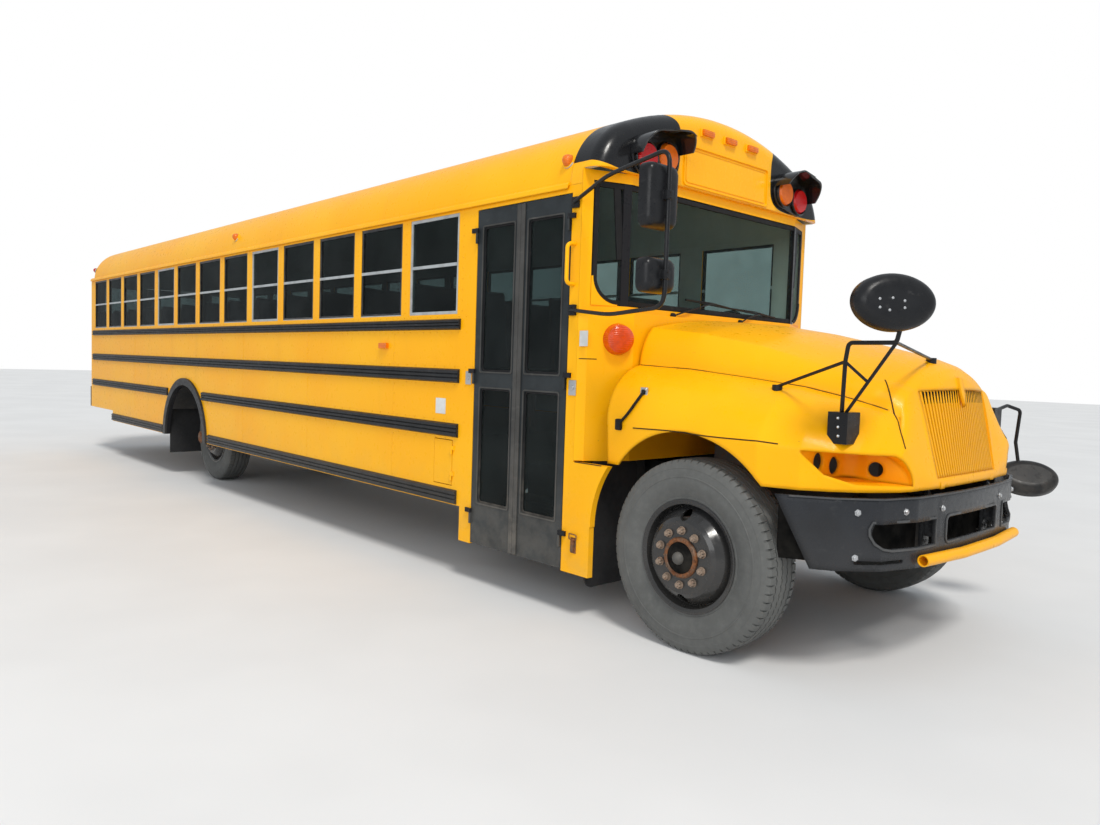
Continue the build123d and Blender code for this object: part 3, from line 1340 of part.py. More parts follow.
with BuildPart() as wipers:
    for y, way in ((-330, -1), (450, -1)):
        with Locations((screen_x + 8.3, y, 1852)):
            Box(16, 50, 30)
        with BuildSketch(cross_plane(screen_x + 6)):
            with BuildLine():
                Polyline((y - 12, 1852), (y + way * 260, 1990), (y + way * 260, 2004), (y + 12, 1866),
                         close=True)
            make_face()
        extrude(amount=10)
save(wipers.part, "wipers")

flap_low_z = 185
with BuildPart() as mudflaps:
    for side in (1, -1):
        with BuildSketch(cross_plane(front_x - 720)):
            with Locations((side * (inner_half - 0.3 - 214), (hood_low_z + flap_low_z) / 2)):
                RectangleRounded(428, hood_low_z - flap_low_z - 10, 60)
        extrude(amount=10)
save(mudflaps.part, "mudflaps")
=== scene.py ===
"""Looks, fittings and padded seats of a school bus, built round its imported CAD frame, in metres."""
import math

import bmesh
import bpy
import numpy as np
from mathutils import Matrix, Vector
from mathutils.bvhtree import BVHTree


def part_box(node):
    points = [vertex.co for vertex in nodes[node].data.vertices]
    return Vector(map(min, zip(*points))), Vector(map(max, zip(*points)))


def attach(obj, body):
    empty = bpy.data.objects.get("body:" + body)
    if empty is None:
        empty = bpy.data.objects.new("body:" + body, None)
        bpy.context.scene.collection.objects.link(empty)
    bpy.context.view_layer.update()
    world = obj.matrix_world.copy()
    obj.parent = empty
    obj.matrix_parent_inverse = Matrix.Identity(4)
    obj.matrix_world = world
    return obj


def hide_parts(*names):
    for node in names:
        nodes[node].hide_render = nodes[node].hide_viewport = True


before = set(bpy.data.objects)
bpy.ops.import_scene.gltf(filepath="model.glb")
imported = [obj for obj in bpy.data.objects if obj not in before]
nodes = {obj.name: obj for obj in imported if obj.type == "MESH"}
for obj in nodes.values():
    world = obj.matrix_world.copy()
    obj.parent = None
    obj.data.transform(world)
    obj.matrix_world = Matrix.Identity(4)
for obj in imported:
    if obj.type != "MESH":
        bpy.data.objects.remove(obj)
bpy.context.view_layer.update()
scene = bpy.context.scene

# Stations of the bus: +X forward, +Y to the driver's side, +Z up
FRONT_X = 5.14
REAR_X = -2.15
TAIL_X = -6.18
HALF_WIDTH = 1.219
AXLE_Z = 0.515
TYRE_RADIUS = 0.515
# From the middle of a tyre to the wheel's disc
MOUNT_OFFSET = 0.16
WINDOW_PITCH = 0.711
WINDOW_COUNT = 13
FIRST_WINDOW_X = FRONT_X - 2.285
WINDOW_LOW_Z = 1.827
WINDOW_MIDDLE_Z = 2.171
DOOR_FRONT_X = FRONT_X - 0.877
DOOR_REAR_X = FRONT_X - 1.778
CAP_FRONT_X = FRONT_X - 0.67
SCREEN_X = FRONT_X - 0.7
ARCH_RADIUS = 0.62
FLOOR_Z = 1.01
# Clear of the nose, where lines from straight ahead start
BEYOND_X = 8
SIDES = (-1, 1)

AHEAD = Vector((1, 0, 0))
RIGHTWARD = Vector((0, -1, 0))
UPWARD = Vector((0, 0, 1))

# ---------------------------------------------------------------- camera, solved from the photograph
PHOTO_WIDTH, PHOTO_HEIGHT = 1100, 825
FOCAL_PIXELS = 826.2
YAW = math.radians(137.31)
PITCH = math.radians(3.31)
ROLL = math.radians(1.84)
EYE = Vector((7.796, -4.604, 1.499))
forward = Vector((math.cos(YAW) * math.cos(PITCH), math.sin(YAW) * math.cos(PITCH), -math.sin(PITCH)))
level_right = Vector((math.sin(YAW), -math.cos(YAW), 0))
level_up = level_right.cross(forward)
right = level_right * math.cos(ROLL) + level_up * math.sin(ROLL)
up = level_up * math.cos(ROLL) - level_right * math.sin(ROLL)
camera_data = bpy.data.cameras.new("camera")
camera_data.sensor_width = 36
camera_data.lens = 27.04
camera_data.clip_end = 200
camera = bpy.data.objects.new("camera", camera_data)
scene.collection.objects.link(camera)
camera.matrix_world = Matrix((
    (right.x, up.x, -forward.x, EYE.x),
    (right.y, up.y, -forward.y, EYE.y),
    (right.z, up.z, -forward.z, EYE.z),
    (0, 0, 0, 1)))
scene.camera = camera


def pixel_ray(x, y):
    """Direction from the camera through a pixel of the photograph."""
    across = right * (x - PHOTO_WIDTH / 2)
    return (forward * FOCAL_PIXELS + across - up * (y - PHOTO_HEIGHT / 2)).normalized()


# ---------------------------------------------------------------- materials
class Nodes:
    """A material's node tree with short calls for the nodes used here."""

    sockets = {"metallic": "Metallic", "coat": "Coat Weight", "gloss": "Specular IOR Level",
               "sheen": "Sheen Weight", "transmission": "Transmission Weight"}

    def __init__(self, name):
        self.material = bpy.data.materials.new(name)
        self.material.use_nodes = True
        self.tree = self.material.node_tree
        self.tree.nodes.clear()
        self.output = self.add("ShaderNodeOutputMaterial")
        self.shader = self.add("ShaderNodeBsdfPrincipled")
        self.link(self.shader.outputs[0], self.output.inputs["Surface"])
        self.coords = self.add("ShaderNodeTexCoord")
        self.place = self.coords.outputs["Object"]

    def add(self, kind, **settings):
        node = self.tree.nodes.new(kind)
        for key, value in settings.items():
            setattr(node, key, value)
        return node

    def link(self, source, target):
        self.tree.links.new(source, target)

    def put(self, target, value):
        """Feed a socket from another one, or with a number or colour."""
        if isinstance(value, bpy.types.NodeSocket):
            self.link(value, target)
        elif isinstance(value, tuple):
            target.default_value = (*value, 1)
        else:
            target.default_value = value

    def noise(self, scale, detail, rough=0.55, stretch=None):
        source = self.place
        if stretch:
            mapping = self.add("ShaderNodeMapping")
            self.link(self.place, mapping.inputs["Vector"])
            mapping.inputs["Scale"].default_value = stretch
            source = mapping.outputs[0]
        node = self.add("ShaderNodeTexNoise")
        self.link(source, node.inputs["Vector"])
        node.inputs["Scale"].default_value = scale
        node.inputs["Detail"].default_value = detail
        node.inputs["Roughness"].default_value = rough
        return node.outputs["Fac"]

    def ramp(self, value, low, high, out_low=0.0, out_high=1.0):
        node = self.add("ShaderNodeMapRange", interpolation_type="SMOOTHSTEP")
        self.put(node.inputs["Value"], value)
        ends = (("From Min", low), ("From Max", high), ("To Min", out_low), ("To Max", out_high))
        for key, number in ends:
            node.inputs[key].default_value = number
        return node.outputs["Result"]

    def spread(self, scale, detail, out_low=0.0, out_high=1.0):
        """Even noise between two values."""
        return self.ramp(self.noise(scale, detail), 0.3, 0.7, out_low, out_high)

    def math(self, operation, a, b=0.0):
        node = self.add("ShaderNodeMath", operation=operation)
        self.put(node.inputs[0], a)
        self.put(node.inputs[1], b)
        return node.outputs[0]

    def size(self, a):
        return self.math("ABSOLUTE", a)

    def minus(self, a, b):
        return self.math("SUBTRACT", a, b)

    def below(self, a, limit):
        return self.math("LESS_THAN", a, limit)

    def above(self, a, limit):
        return self.math("GREATER_THAN", a, limit)

    def all_of(self, first, *others):
        for other in others:
            first = self.math("MULTIPLY", first, other)
        return first

    def any_of(self, first, *others):
        for other in others:
            first = self.math("MAXIMUM", first, other)
        return first

    def mix(self, factor, a, b):
        node = self.add("ShaderNodeMix", data_type="RGBA")
        self.put(node.inputs["Factor"], factor)
        self.put(node.inputs[6], a)
        self.put(node.inputs[7], b)
        return node.outputs[2]

    def varied(self, colour, scale, detail, dull, bright):
        """Colour in soft patches between two shares of itself."""
        return self.mix(self.spread(scale, detail), tuple(c * dull for c in colour),
                        tuple(min(1, c * bright) for c in colour))

    def axes(self, source="Object"):
        node = self.add("ShaderNodeSeparateXYZ")
        self.link(self.coords.outputs[source], node.inputs[0])
        return node.outputs

    def bump(self, height, strength, distance, under=None):
        node = self.add("ShaderNodeBump")
        self.put(node.inputs["Height"], height)
        node.inputs["Strength"].default_value = strength
        node.inputs["Distance"].default_value = distance
        if under is not None:
            self.link(under, node.inputs["Normal"])
        return node.outputs[0]

    def rounded(self, radius):
        node = self.add("ShaderNodeBevel", samples=6)
        node.inputs["Radius"].default_value = radius
        return node.outputs[0]

    def finish(self, colour, roughness, normal=None, **levels):
        """Feed the shader; levels are plain numbers for its other sockets."""
        self.put(self.shader.inputs["Base Color"], colour)
        self.put(self.shader.inputs["Roughness"], roughness)
        self.shader.inputs["Coat Roughness"].default_value = 0.08
        for key, level in levels.items():
            self.shader.inputs[self.sockets[key]].default_value = level
        if normal is not None:
            self.link(normal, self.shader.inputs["Normal"])
        return self.material


YELLOW = (0.97, 0.435, 0.002)
FADED = (0.98, 0.48, 0.006)
STREAK = (0.5, 0.21, 0.012)
DUST = (0.4, 0.29, 0.13)
ROAD_DUST = (0.25, 0.225, 0.19)
PRIMER = (0.12, 0.06, 0.025)
RUST = (0.16, 0.055, 0.02)
BRIGHT_RUST = (0.3, 0.115, 0.04)
BLACK = (0.014, 0.014, 0.016)
POD_BLACK = (0.01, 0.0105, 0.012)
LINING = (0.5, 0.52, 0.49)
WARNING_RED = (0.6, 0.004, 0.008)
WARNING_AMBER = (0.92, 0.19, 0.003)


def lining(m, base):
    """Pale cabin lining on the faces that look into the cabin, over the paint of the outside."""
    x, y, z = m.axes()
    facing = m.axes("Normal")
    inward = m.below(m.all_of(facing[1], m.math("SIGN", y)), -0.4)
    ceiling = m.all_of(m.below(facing[2], -0.25), m.above(z, 2.4))
    rear_end = m.all_of(m.above(facing[0], 0.4), m.below(x, TAIL_X + 0.2))
    front_end = m.all_of(m.below(facing[0], -0.4), m.above(x, FRONT_X - 1.0))
    inside = m.any_of(m.any_of(inward, ceiling), m.any_of(rear_end, front_end))
    inside = m.all_of(inside, m.below(m.size(y), HALF_WIDTH - 0.008), m.below(x, SCREEN_X - 0.018),
                      m.above(z, FLOOR_Z + 0.01), m.above(x, TAIL_X + 0.012))
    return m.mix(inside, base, LINING)


def faded_yellow(m, streak):
    """Yellow faded in soft patches, darker where the streak mask says."""
    base = m.mix(m.ramp(m.noise(0.9, 3), 0.35, 0.68), YELLOW, FADED)
    return m.mix(streak, base, STREAK)


def fine_grain(m, edge):
    """Normals of sprayed paint on softly rounded edges."""
    return m.bump(m.noise(190, 2), 0.05, 0.0006, m.rounded(edge))


def yellow_paint(name, edge=0.004, grime=0.5, dark=None):
    """Bus paint: faded, dusty low down, with scattered chips. dark is a mask painted black."""
    m = Nodes(name)
    base = faded_yellow(m, m.ramp(m.noise(3.0, 5, stretch=(1.6, 1.6, 0.16)), 0.54, 0.82, 0, 0.26 * grime))
    film = m.ramp(m.noise(7, 6), 0.38, 0.68, 0.04, 0.42 * grime)
    base = m.mix(m.all_of(m.ramp(m.axes()[2], 0.95, 0.25), film), base, DUST)
    base = m.mix(m.ramp(m.noise(60, 3, 0.5), 0.755, 0.775, 0, 0.7), base, PRIMER)
    base = lining(m, base)
    if dark:
        base = m.mix(dark(m), base, BLACK)
    normal = m.bump(m.noise(2.2, 2), 0.1, 0.012, fine_grain(m, edge))
    return m.finish(base, m.spread(24, 5, 0.26, 0.4), normal, coat=0.04, gloss=0.14)


def wall_mask(m):
    """Black paint on the edges of the rear arches and on the door's hinge knuckles."""
    x, y, z = m.axes()
    away = m.math("ADD", m.math("POWER", m.minus(x, REAR_X), 2.0), m.math("POWER", m.minus(z, AXLE_Z), 2.0))
    arch = m.below(away, (ARCH_RADIUS + 0.004) ** 2)
    knuckle = m.all_of(m.above(m.size(y), HALF_WIDTH + 0.003), m.above(x, FRONT_X - 1.93))
    return m.any_of(arch, knuckle)


def pillar_mask(m):
    """Black paint on the posts and reveals between the panes of the windscreen."""
    x, y, z = m.axes()
    level = m.below(m.size(m.minus(z, 2.22)), 0.3606)
    return m.all_of(m.below(m.size(y), HALF_WIDTH - 0.078), level, m.above(x, FRONT_X - 0.9))


def satin(name, colour, rough=(0.32, 0.5), edge=0.003, scuff=0.5, mark=(0.16, 0.155, 0.15), dust=0.5,
          grain=0.04, gloss=0.22, **levels):
    """Painted or moulded piece with scuffs of the mark's colour, and road dust low down."""
    m = Nodes(name)
    base = m.varied(colour, 5, 4, 0.82, 1.18)
    base = m.mix(m.ramp(m.noise(16, 8, 0.68, stretch=(0.5, 1, 1.6)), 0.58, 0.74, 0, scuff), base, mark)
    film = m.ramp(m.noise(9, 6, 0.6), 0.34, 0.66, 0.1, dust)
    base = m.mix(m.all_of(m.ramp(m.axes()[2], 1.15, 0.2), film), base, ROAD_DUST)
    normal = m.bump(m.noise(260, 3), grain, 0.0008, m.rounded(edge))
    return m.finish(base, m.spread(30, 5, *rough), normal, gloss=gloss, **levels)


def rubber(name, colour, scale=150, strength=0.25, dust=0.3):
    """Dull rubber with a thin dusty film."""
    m = Nodes(name)
    film = m.ramp(m.noise(26, 8, 0.7), 0.4, 0.75, 0, dust)
    base = m.mix(film, m.varied(colour, 2.5, 3, 0.88, 1.12), tuple(c * 1.9 for c in colour))
    return m.finish(base, m.spread(18, 4, 0.62, 0.82), m.bump(m.noise(scale, 5, 0.6), strength, 0.0012))


def rusty(name, colour, amount, metallic=0.3):
    """Bare or thinly painted steel with rust in patches."""
    m = Nodes(name)
    patch = m.ramp(m.noise(22, 7, 0.7), 0.62 - 0.3 * amount, 0.8 - 0.25 * amount)
    tint = m.mix(m.ramp(m.noise(60, 4), 0.35, 0.65), RUST, BRIGHT_RUST)
    normal = m.bump(m.noise(130, 6, 0.65), 0.4, 0.0012, m.rounded(0.002))
    return m.finish(m.mix(patch, colour, tint), m.ramp(patch, 0, 1, 0.42, 0.88), normal, metallic=metallic)


def lens(name, colour, bars=0.0):
    """Coloured plastic lens, with fine moulded ribs where bars are given."""
    m = Nodes(name)
    rib = m.math("SINE", m.math("MULTIPLY", m.axes()[2], bars)) if bars else m.noise(90, 2)
    return m.finish(m.varied(colour, 30, 3, 0.8, 1), m.spread(50, 3, 0.1, 0.22), m.bump(rib, 0.5, 0.0015),
                    transmission=0.06, gloss=0.3, coat=0.2)


def pane(name, colour, clear=0.84, film=0.25):
    """Thin glazing: a tinted see-through sheet with a soft reflection and a little dirt."""
    m = Nodes(name)
    through = m.add("ShaderNodeBsdfTransparent")
    m.put(through.inputs["Color"], colour)
    dirt = m.ramp(m.noise(3, 7, 0.7), 0.35, 0.75, 1 - clear, 1 - clear + film * 0.4)
    m.finish(m.varied(colour, 2, 3, 0.04, 0.09), m.spread(5, 4, 0.03, 0.07), gloss=0.35)
    blend = m.add("ShaderNodeMixShader")
    for socket, source in zip(blend.inputs, (dirt, through.outputs[0], m.shader.outputs[0])):
        m.link(source, socket)
    m.link(blend.outputs[0], m.output.inputs["Surface"])
    return m.material


def vinyl(name, colour):
    """Bench vinyl: pebble grain, slight sheen on the worn crown."""
    m = Nodes(name)
    pebble = m.add("ShaderNodeTexVoronoi")
    m.link(m.place, pebble.inputs["Vector"])
    pebble.inputs["Scale"].default_value = 240
    grain = m.bump(pebble.outputs["Distance"], 0.35, 0.0008, m.bump(m.noise(14, 4), 0.2, 0.006))
    return m.finish(m.varied(colour, 8, 5, 0.8, 1.25), m.spread(20, 4, 0.38, 0.55), grain, sheen=0.15)


def cap_material():
    """Front cap: yellow, with the glossy black pods painted round its upper corners."""
    m = Nodes("cap_paint")
    _, y, z = m.axes()
    base = faded_yellow(m, m.ramp(m.noise(4, 5, stretch=(1.4, 1.4, 0.2)), 0.55, 0.8, 0, 0.15))
    # Pod outline: a rounded field over the corner, from the ledge up over the shoulder
    across = m.math("DIVIDE", m.minus(m.size(y), 0.88), 0.375)
    height = m.math("DIVIDE", m.minus(z, 2.865), 0.222)
    oval = m.math("ADD", m.math("POWER", m.size(across), 4.0), m.math("POWER", m.size(height), 4.0))
    base = lining(m, m.mix(m.ramp(oval, 1.0, 0.985), base, POD_BLACK))
    return m.finish(base, m.spread(24, 5, 0.18, 0.32), fine_grain(m, 0.012), gloss=0.25, coat=0.1)


def lamp_material():
    """Warning lamps: the outer ones red, the inner ones amber, with moulded rings."""
    m = Nodes("warning_lens")
    _, y, z = m.axes()
    base = m.mix(m.ramp(m.size(y), 0.748, 0.752), WARNING_AMBER, WARNING_RED)
    base = m.mix(m.spread(25, 3, 0, 0.25), base, (0.4, 0.02, 0.005))
    waves = [m.math("SINE", m.math("MULTIPLY", axis, 700.0)) for axis in (y, z)]
    grid = m.math("ADD", *waves)
    return m.finish(base, m.spread(50, 3, 0.08, 0.18), m.bump(grid, 0.35, 0.001), gloss=0.3, coat=0.2)


def sash_material():
    """Window sashes: black, with pale aluminium ones where sashes have been changed."""
    m = Nodes("sash_paint")
    x, y, z = m.axes()
    index = m.math("DIVIDE", m.minus(FIRST_WINDOW_X + WINDOW_PITCH / 2, x), WINDOW_PITCH)
    cell = m.math("FLOOR", index)
    changed = [m.math("COMPARE", cell, number) for number in (0.0, 4.0, 8.0)]
    pale = m.any_of(changed[0], m.any_of(changed[1], changed[2]))
    pale = m.all_of(pale, m.below(y, 0.0))
    rail = m.below(m.size(m.minus(z, WINDOW_MIDDLE_Z)), 0.012)
    pale = m.any_of(pale, m.any_of(rail, m.below(z, WINDOW_LOW_Z + 0.008)))
    base = m.mix(pale, (0.02, 0.021, 0.023), (0.46, 0.49, 0.5))
    base = m.mix(m.ramp(m.noise(12, 6), 0.4, 0.7, 0, 0.3), base, (0.11, 0.11, 0.11))
    normal = m.bump(m.noise(200, 3), 0.05, 0.0006, m.rounded(0.002))
    return m.finish(base, m.spread(30, 4, 0.3, 0.5), normal, metallic=0.3)


mat = {
    "yellow": yellow_paint("bus_yellow"),
    "wall": yellow_paint("wall_yellow", dark=wall_mask),
    "cowl": yellow_paint("cowl_yellow", dark=pillar_mask, grime=0.35),
    "hood": yellow_paint("hood_yellow", edge=0.03, grime=0.25),
    "cap": cap_material(),
    "lamps": lamp_material(),
    "sash": sash_material(),
    "black_rail": satin("rail_black", (0.016, 0.017, 0.019), scuff=0.25, dust=0.15),
    "bumper": satin("bumper_black", (0.012, 0.0145, 0.019), rough=(0.16, 0.34), scuff=0.3,
                    mark=(0.09, 0.09, 0.088), dust=0.12, edge=0.045, coat=0.12),
    # Lighter grey with heavy scuffs: painted highlight along the bumper's mouth rims and top edge, with
    # scuffs of wear
    "bumper_edge_highlight_and_wear": satin("bumper_edge_highlight_and_wear", (0.055, 0.058, 0.062), rough=(0.25, 0.45), scuff=0.6,
                         mark=(0.17, 0.16, 0.15), dust=0.2),
    "pod": satin("pod_black", POD_BLACK, rough=(0.1, 0.2), scuff=0.12, coat=0.3, edge=0.012, gloss=0.4),
    "door_frame": satin("door_black", (0.024, 0.029, 0.032), rough=(0.34, 0.5), scuff=0.3,
                        mark=(0.1, 0.105, 0.105), dust=0.25),
    "door_rubber": satin("door_rubber", (0.06, 0.059, 0.056), rough=(0.5, 0.7), mark=(0.14, 0.13, 0.12),
                         dust=0.4),
    "plastic": satin("black_plastic", (0.012, 0.0125, 0.014), rough=(0.24, 0.42), scuff=0.15),
    "chassis": satin("chassis_black", (0.022, 0.022, 0.022), rough=(0.5, 0.7), mark=(0.1, 0.06, 0.04),
                     dust=0.35),
    "wheel": satin("wheel_black", (0.011, 0.012, 0.014), rough=(0.14, 0.3), scuff=0.3,
                   mark=(0.1, 0.07, 0.05), dust=0.1, coat=0.25, gloss=0.4),
    # Near-black, with no scuffs or dust: painted shade in the hub mouths, the grille's slots and behind the
    # bumper's mouths
    "black_and_shade": satin("black_and_painted_shade", (0.004, 0.004, 0.004), rough=(0.7, 0.9), scuff=0.0, dust=0.0,
                    gloss=0.05),
    "grey": satin("grey_plastic", (0.2, 0.2, 0.205), rough=(0.5, 0.65), scuff=0.2),
    "cap_grey": satin("hub_grey", (0.055, 0.055, 0.053), rough=(0.4, 0.6), mark=(0.2, 0.17, 0.14)),
    "stop": satin("stop_red", (0.5, 0.012, 0.012), rough=(0.25, 0.4), scuff=0.2, mark=(0.6, 0.4, 0.4)),
    "seam": satin("seam_dark", (0.045, 0.02, 0.004), rough=(0.6, 0.8), scuff=0.1, dust=0.1),
    "gasket": satin("gasket_rubber", (0.01, 0.01, 0.011), rough=(0.45, 0.65), scuff=0.15),
    "white": satin("label_white", (0.62, 0.63, 0.62), rough=(0.4, 0.55), scuff=0.2, mark=(0.4, 0.4, 0.38)),
    "mirror": satin("mirror_silver", (0.62, 0.65, 0.67), rough=(0.02, 0.05), scuff=0.0, dust=0.05,
                    metallic=1.0, grain=0.0),
    "iron": rusty("engine_iron", (0.12, 0.12, 0.12), 0.35),
    "spring": rusty("spring_steel", (0.05, 0.045, 0.04), 0.45),
    "rust": rusty("rusty_steel", (0.13, 0.08, 0.05), 0.8),
    "nut": rusty("nut_steel", (0.27, 0.2, 0.15), 0.3, metallic=0.2),
    "steel": rusty("silencer_steel", (0.3, 0.27, 0.24), 0.45, metallic=0.7),
    "bright": rusty("bright_metal", (0.52, 0.53, 0.54), 0.08, metallic=0.9),
    "tyre": rubber("tyre_rubber", (0.092, 0.094, 0.09), dust=0.25),
    "flap": rubber("flap_rubber", (0.012, 0.012, 0.013)),
    "floor_rubber": rubber("floor_rubber", (0.07, 0.07, 0.07), 60, 0.3),
    "red_lens": lens("red_lens", (0.55, 0.01, 0.01)),
    "amber_lens": lens("amber_lens", (0.88, 0.19, 0.003), bars=520.0),
    "turn_lens": lens("turn_lens", (0.74, 0.07, 0.002), bars=520.0),
    "glass": pane("window_glass", (0.47, 0.54, 0.54)),
    "windshield": pane("windshield_glass", (0.9, 0.98, 0.96), clear=0.95, film=0.15),
    "door_glass": pane("door_glass", (0.52, 0.6, 0.6)),
    "seat": vinyl("seat_vinyl", (0.028, 0.034, 0.045)),
}
# Which CAD nodes wear which material; the others are rims and tyres
WEARERS = {
    "yellow": "crossing_arm_stub fuel_door grab_handle rear_door rear_wall roof",
    "wall": "left_wall right_wall", "cowl": "cowl", "cap": "front_cap", "hood": "grille hood",
    "black_rail": "arch_flares rub_rails", "bumper": "front_bumper rear_bumper", "pod": "lamp_visors",
    "door_frame": "entry_door_front entry_door_rear", "sash": "window_frames", "stop": "stop_arm",
    "door_glass": "entry_door_front_glass entry_door_rear_glass",
    "glass": "rear_door_glass window_glass", "windshield": "windshield",
    "plastic": "crossview_mirrors side_mirrors steering_wheel stop_arm_box wipers", "grey": "dashboard",
    "seat": "bench_backs bench_cushions driver_seat", "floor_rubber": "floor step_well",
    "chassis": "driveshaft frame_rails front_axle fuel_tank left_knuckle rear_axle right_knuckle "
               "wheel_housings",
    "iron": "engine_block", "steel": "exhaust", "spring": "leaf_springs", "flap": "mudflaps",
    "amber_lens": "marker_lamps", "red_lens": "rear_lamps", "lamps": "warning_lamps",
}
look_of = {name: look for look, names in WEARERS.items() for name in names.split()}
for name, node in nodes.items():
    look = look_of.get(name, "wheel" if name.endswith("_rim") else "tyre")
    node.data.materials.clear()
    node.data.materials.append(mat[look])


# ---------------------------------------------------------------- mesh helpers
def new_piece(name, verts, faces, material, body, smooth):
    """Mesh object riding on a body. smooth is the angle in degrees below which edges are shaded round."""
    data = bpy.data.meshes.new(name)
    data.from_pydata([tuple(v) for v in verts], [], faces)
    data.update()
    data.materials.append(mat[material])
    piece = bpy.data.objects.new(name, data)
    scene.collection.objects.link(piece)
    if smooth is not None:
        data.polygons.foreach_set("use_smooth", [True] * len(data.polygons))
        data.set_sharp_from_angle(angle=math.radians(smooth))
    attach(piece, body)
    return piece


def net(rows, columns, round_rows=False):
    """Faces over points listed row by row. Each row closes on itself, and so can the rows."""
    faces = []
    for row in range(rows if round_rows else rows - 1):
        after = (row + 1) % rows
        for column in range(columns):
            beside = (column + 1) % columns
            faces.append((row * columns + column, row * columns + beside,
                          after * columns + beside, after * columns + column))
    return faces


def ends(rows, columns):
    """Faces that close the first and the last row of a net."""
    last = (rows - 1) * columns
    return [tuple(reversed(range(columns))), tuple(range(last, last + columns))]


def across_of(normal, upright=False):
    """Two directions square to a normal and to each other."""
    first = UPWARD if upright else normal.orthogonal().normalized()
    return first, normal.cross(first)


def circle(centre, first, second, radius, count, turn=0.0):
    """Points round a circle spanned by two directions."""
    points = []
    for k in range(count):
        angle = turn + 2 * math.pi * k / count
        points.append(centre + (first * math.cos(angle) + second * math.sin(angle)) * radius)
    return points


class Shape:
    """Vertices and faces gathered for one piece."""

    def __init__(self):
        self.verts = []
        self.faces = []

    def take(self, verts, faces):
        base = len(self.verts)
        self.verts += [Vector(v) for v in verts]
        self.faces += [tuple(base + i for i in face) for face in faces]

    def ring(self, centre, axis, profile, count, turn=0.0):
        """Closed profile of (distance along the axis, radius) spun about it."""
        axis = Vector(axis).normalized()
        first, second = across_of(axis, upright=abs(axis.y) > 0.99)
        verts = []
        for way in circle(Vector(), first, second, 1, count, turn):
            verts += [Vector(centre) + axis * along + way * radius for along, radius in profile]
        self.take(verts, net(count, len(profile), round_rows=True))

    def dome(self, centre, normal, radius, height, count, levels):
        """Low rivet or lens dome with a closed base."""
        centre, normal = Vector(centre), Vector(normal).normalized()
        first, second = across_of(normal)
        verts = []
        for level in range(levels + 1):
            tilt = level / (levels + 1) * math.pi / 2
            verts += circle(centre + normal * height * math.sin(tilt), first, second,
                            radius * math.cos(tilt), count)
        verts.append(centre + normal * height)
        faces = net(levels + 1, count)
        top = len(verts) - 1
        for k in range(count):
            faces.append((levels * count + k, levels * count + (k + 1) % count, top))
        faces.append(tuple(reversed(range(count))))
        self.take(verts, faces)

    def box(self, low, high, chamfer):
        """Box between two corners, its edges cut back by a chamfer."""
        low, high = Vector(low), Vector(high)
        size, middle = high - low, (high + low) / 2
        form = bmesh.new()
        bmesh.ops.create_cube(form, size=1)
        for v in form.verts:
            v.co = v.co * size + middle
        bmesh.ops.bevel(form, geom=form.edges[:], offset=min(chamfer, min(size) * 0.45), segments=2,
                        affect="EDGES", profile=0.6)
        form.verts.ensure_lookup_table()
        self.take([v.co.copy() for v in form.verts], [[v.index for v in f.verts] for f in form.faces])
        form.free()

    def block(self, centre, half, chamfer):
        """Box by its centre and half sizes."""
        self.box(Vector(centre) - Vector(half), Vector(centre) + Vector(half), chamfer)

    def strip(self, points, normals, width, height, closed=False):
        """Low flat-topped ridge along points on a surface, sides sloping down into it."""
        count = len(points)
        verts = []
        for i, point in enumerate(points):
            before = points[i - 1] if i or closed else point
            after = points[(i + 1) % count] if i < count - 1 or closed else point
            normal = normals[i]
            across = (after - before).normalized().cross(normal).normalized()
            for side, rise in ((-0.5, -0.0012), (-0.42, height), (0.42, height), (0.5, -0.0012)):
                verts.append(point + across * width * side + normal * rise)
        faces = net(count, 4, round_rows=closed)
        self.take(verts, faces if closed else faces + ends(count, 4))

    def pipe(self, points, radius, count=10):
        """Round bar through points, with closed ends."""
        points = [Vector(p) for p in points]
        verts = []
        first = None
        for i, point in enumerate(points):
            along = (points[min(i + 1, len(points) - 1)] - points[max(i - 1, 0)]).normalized()
            first = along.orthogonal() if first is None else first - along * first.dot(along)
            first.normalize()
            verts += circle(point, first, along.cross(first), radius, count)
        self.take(verts, net(len(points), count) + ends(len(points), count))

    def prism(self, front, back):
        """Solid between two outlines of as many points each."""
        n = len(front)
        faces = [tuple(range(n)), tuple(range(2 * n - 1, n - 1, -1))]
        faces += [(i, n + i, n + (i + 1) % n, (i + 1) % n) for i in range(n)]
        self.take([*front, *back], faces)

    def mirrored(self):
        """The same shape on the other side of the bus."""
        other = Shape()
        other.verts = [other_side(v) for v in self.verts]
        other.faces = [tuple(reversed(face)) for face in self.faces]
        return other

    def piece(self, name, material, slot, smooth=None, body="body"):
        return new_piece(name, self.verts, self.faces, material, body, smooth)


def other_side(v):
    return Vector((v.x, -v.y, v.z))


def ahead(x, y, z):
    """Point a distance ahead of the front axle's station."""
    return Vector((FRONT_X + x, y, z))


def tree_of(*names):
    """Search tree over CAD nodes."""
    shape = Shape()
    for name in names:
        data = nodes[name].data
        shape.take([v.co for v in data.vertices], [p.vertices for p in data.polygons])
    return BVHTree.FromPolygons(shape.verts, shape.faces)


def smooth_line(points, step):
    """Points every step metres along a Catmull-Rom curve through the given ones."""
    points = [Vector(p) for p in points]
    out = []
    for i in range(len(points) - 1):
        p0 = points[max(i - 1, 0)]
        p1, p2 = points[i], points[i + 1]
        p3 = points[min(i + 2, len(points) - 1)]
        count = max(1, round((p2 - p1).length / step))
        for k in range(count):
            t = k / count
            out.append(0.5 * ((2 * p1) + (p2 - p0) * t + (2 * p0 - 5 * p1 + 4 * p2 - p3) * t ** 2
                              + (3 * p1 - p0 - 3 * p2 + p3) * t ** 3))
    out.append(points[-1])
    return out


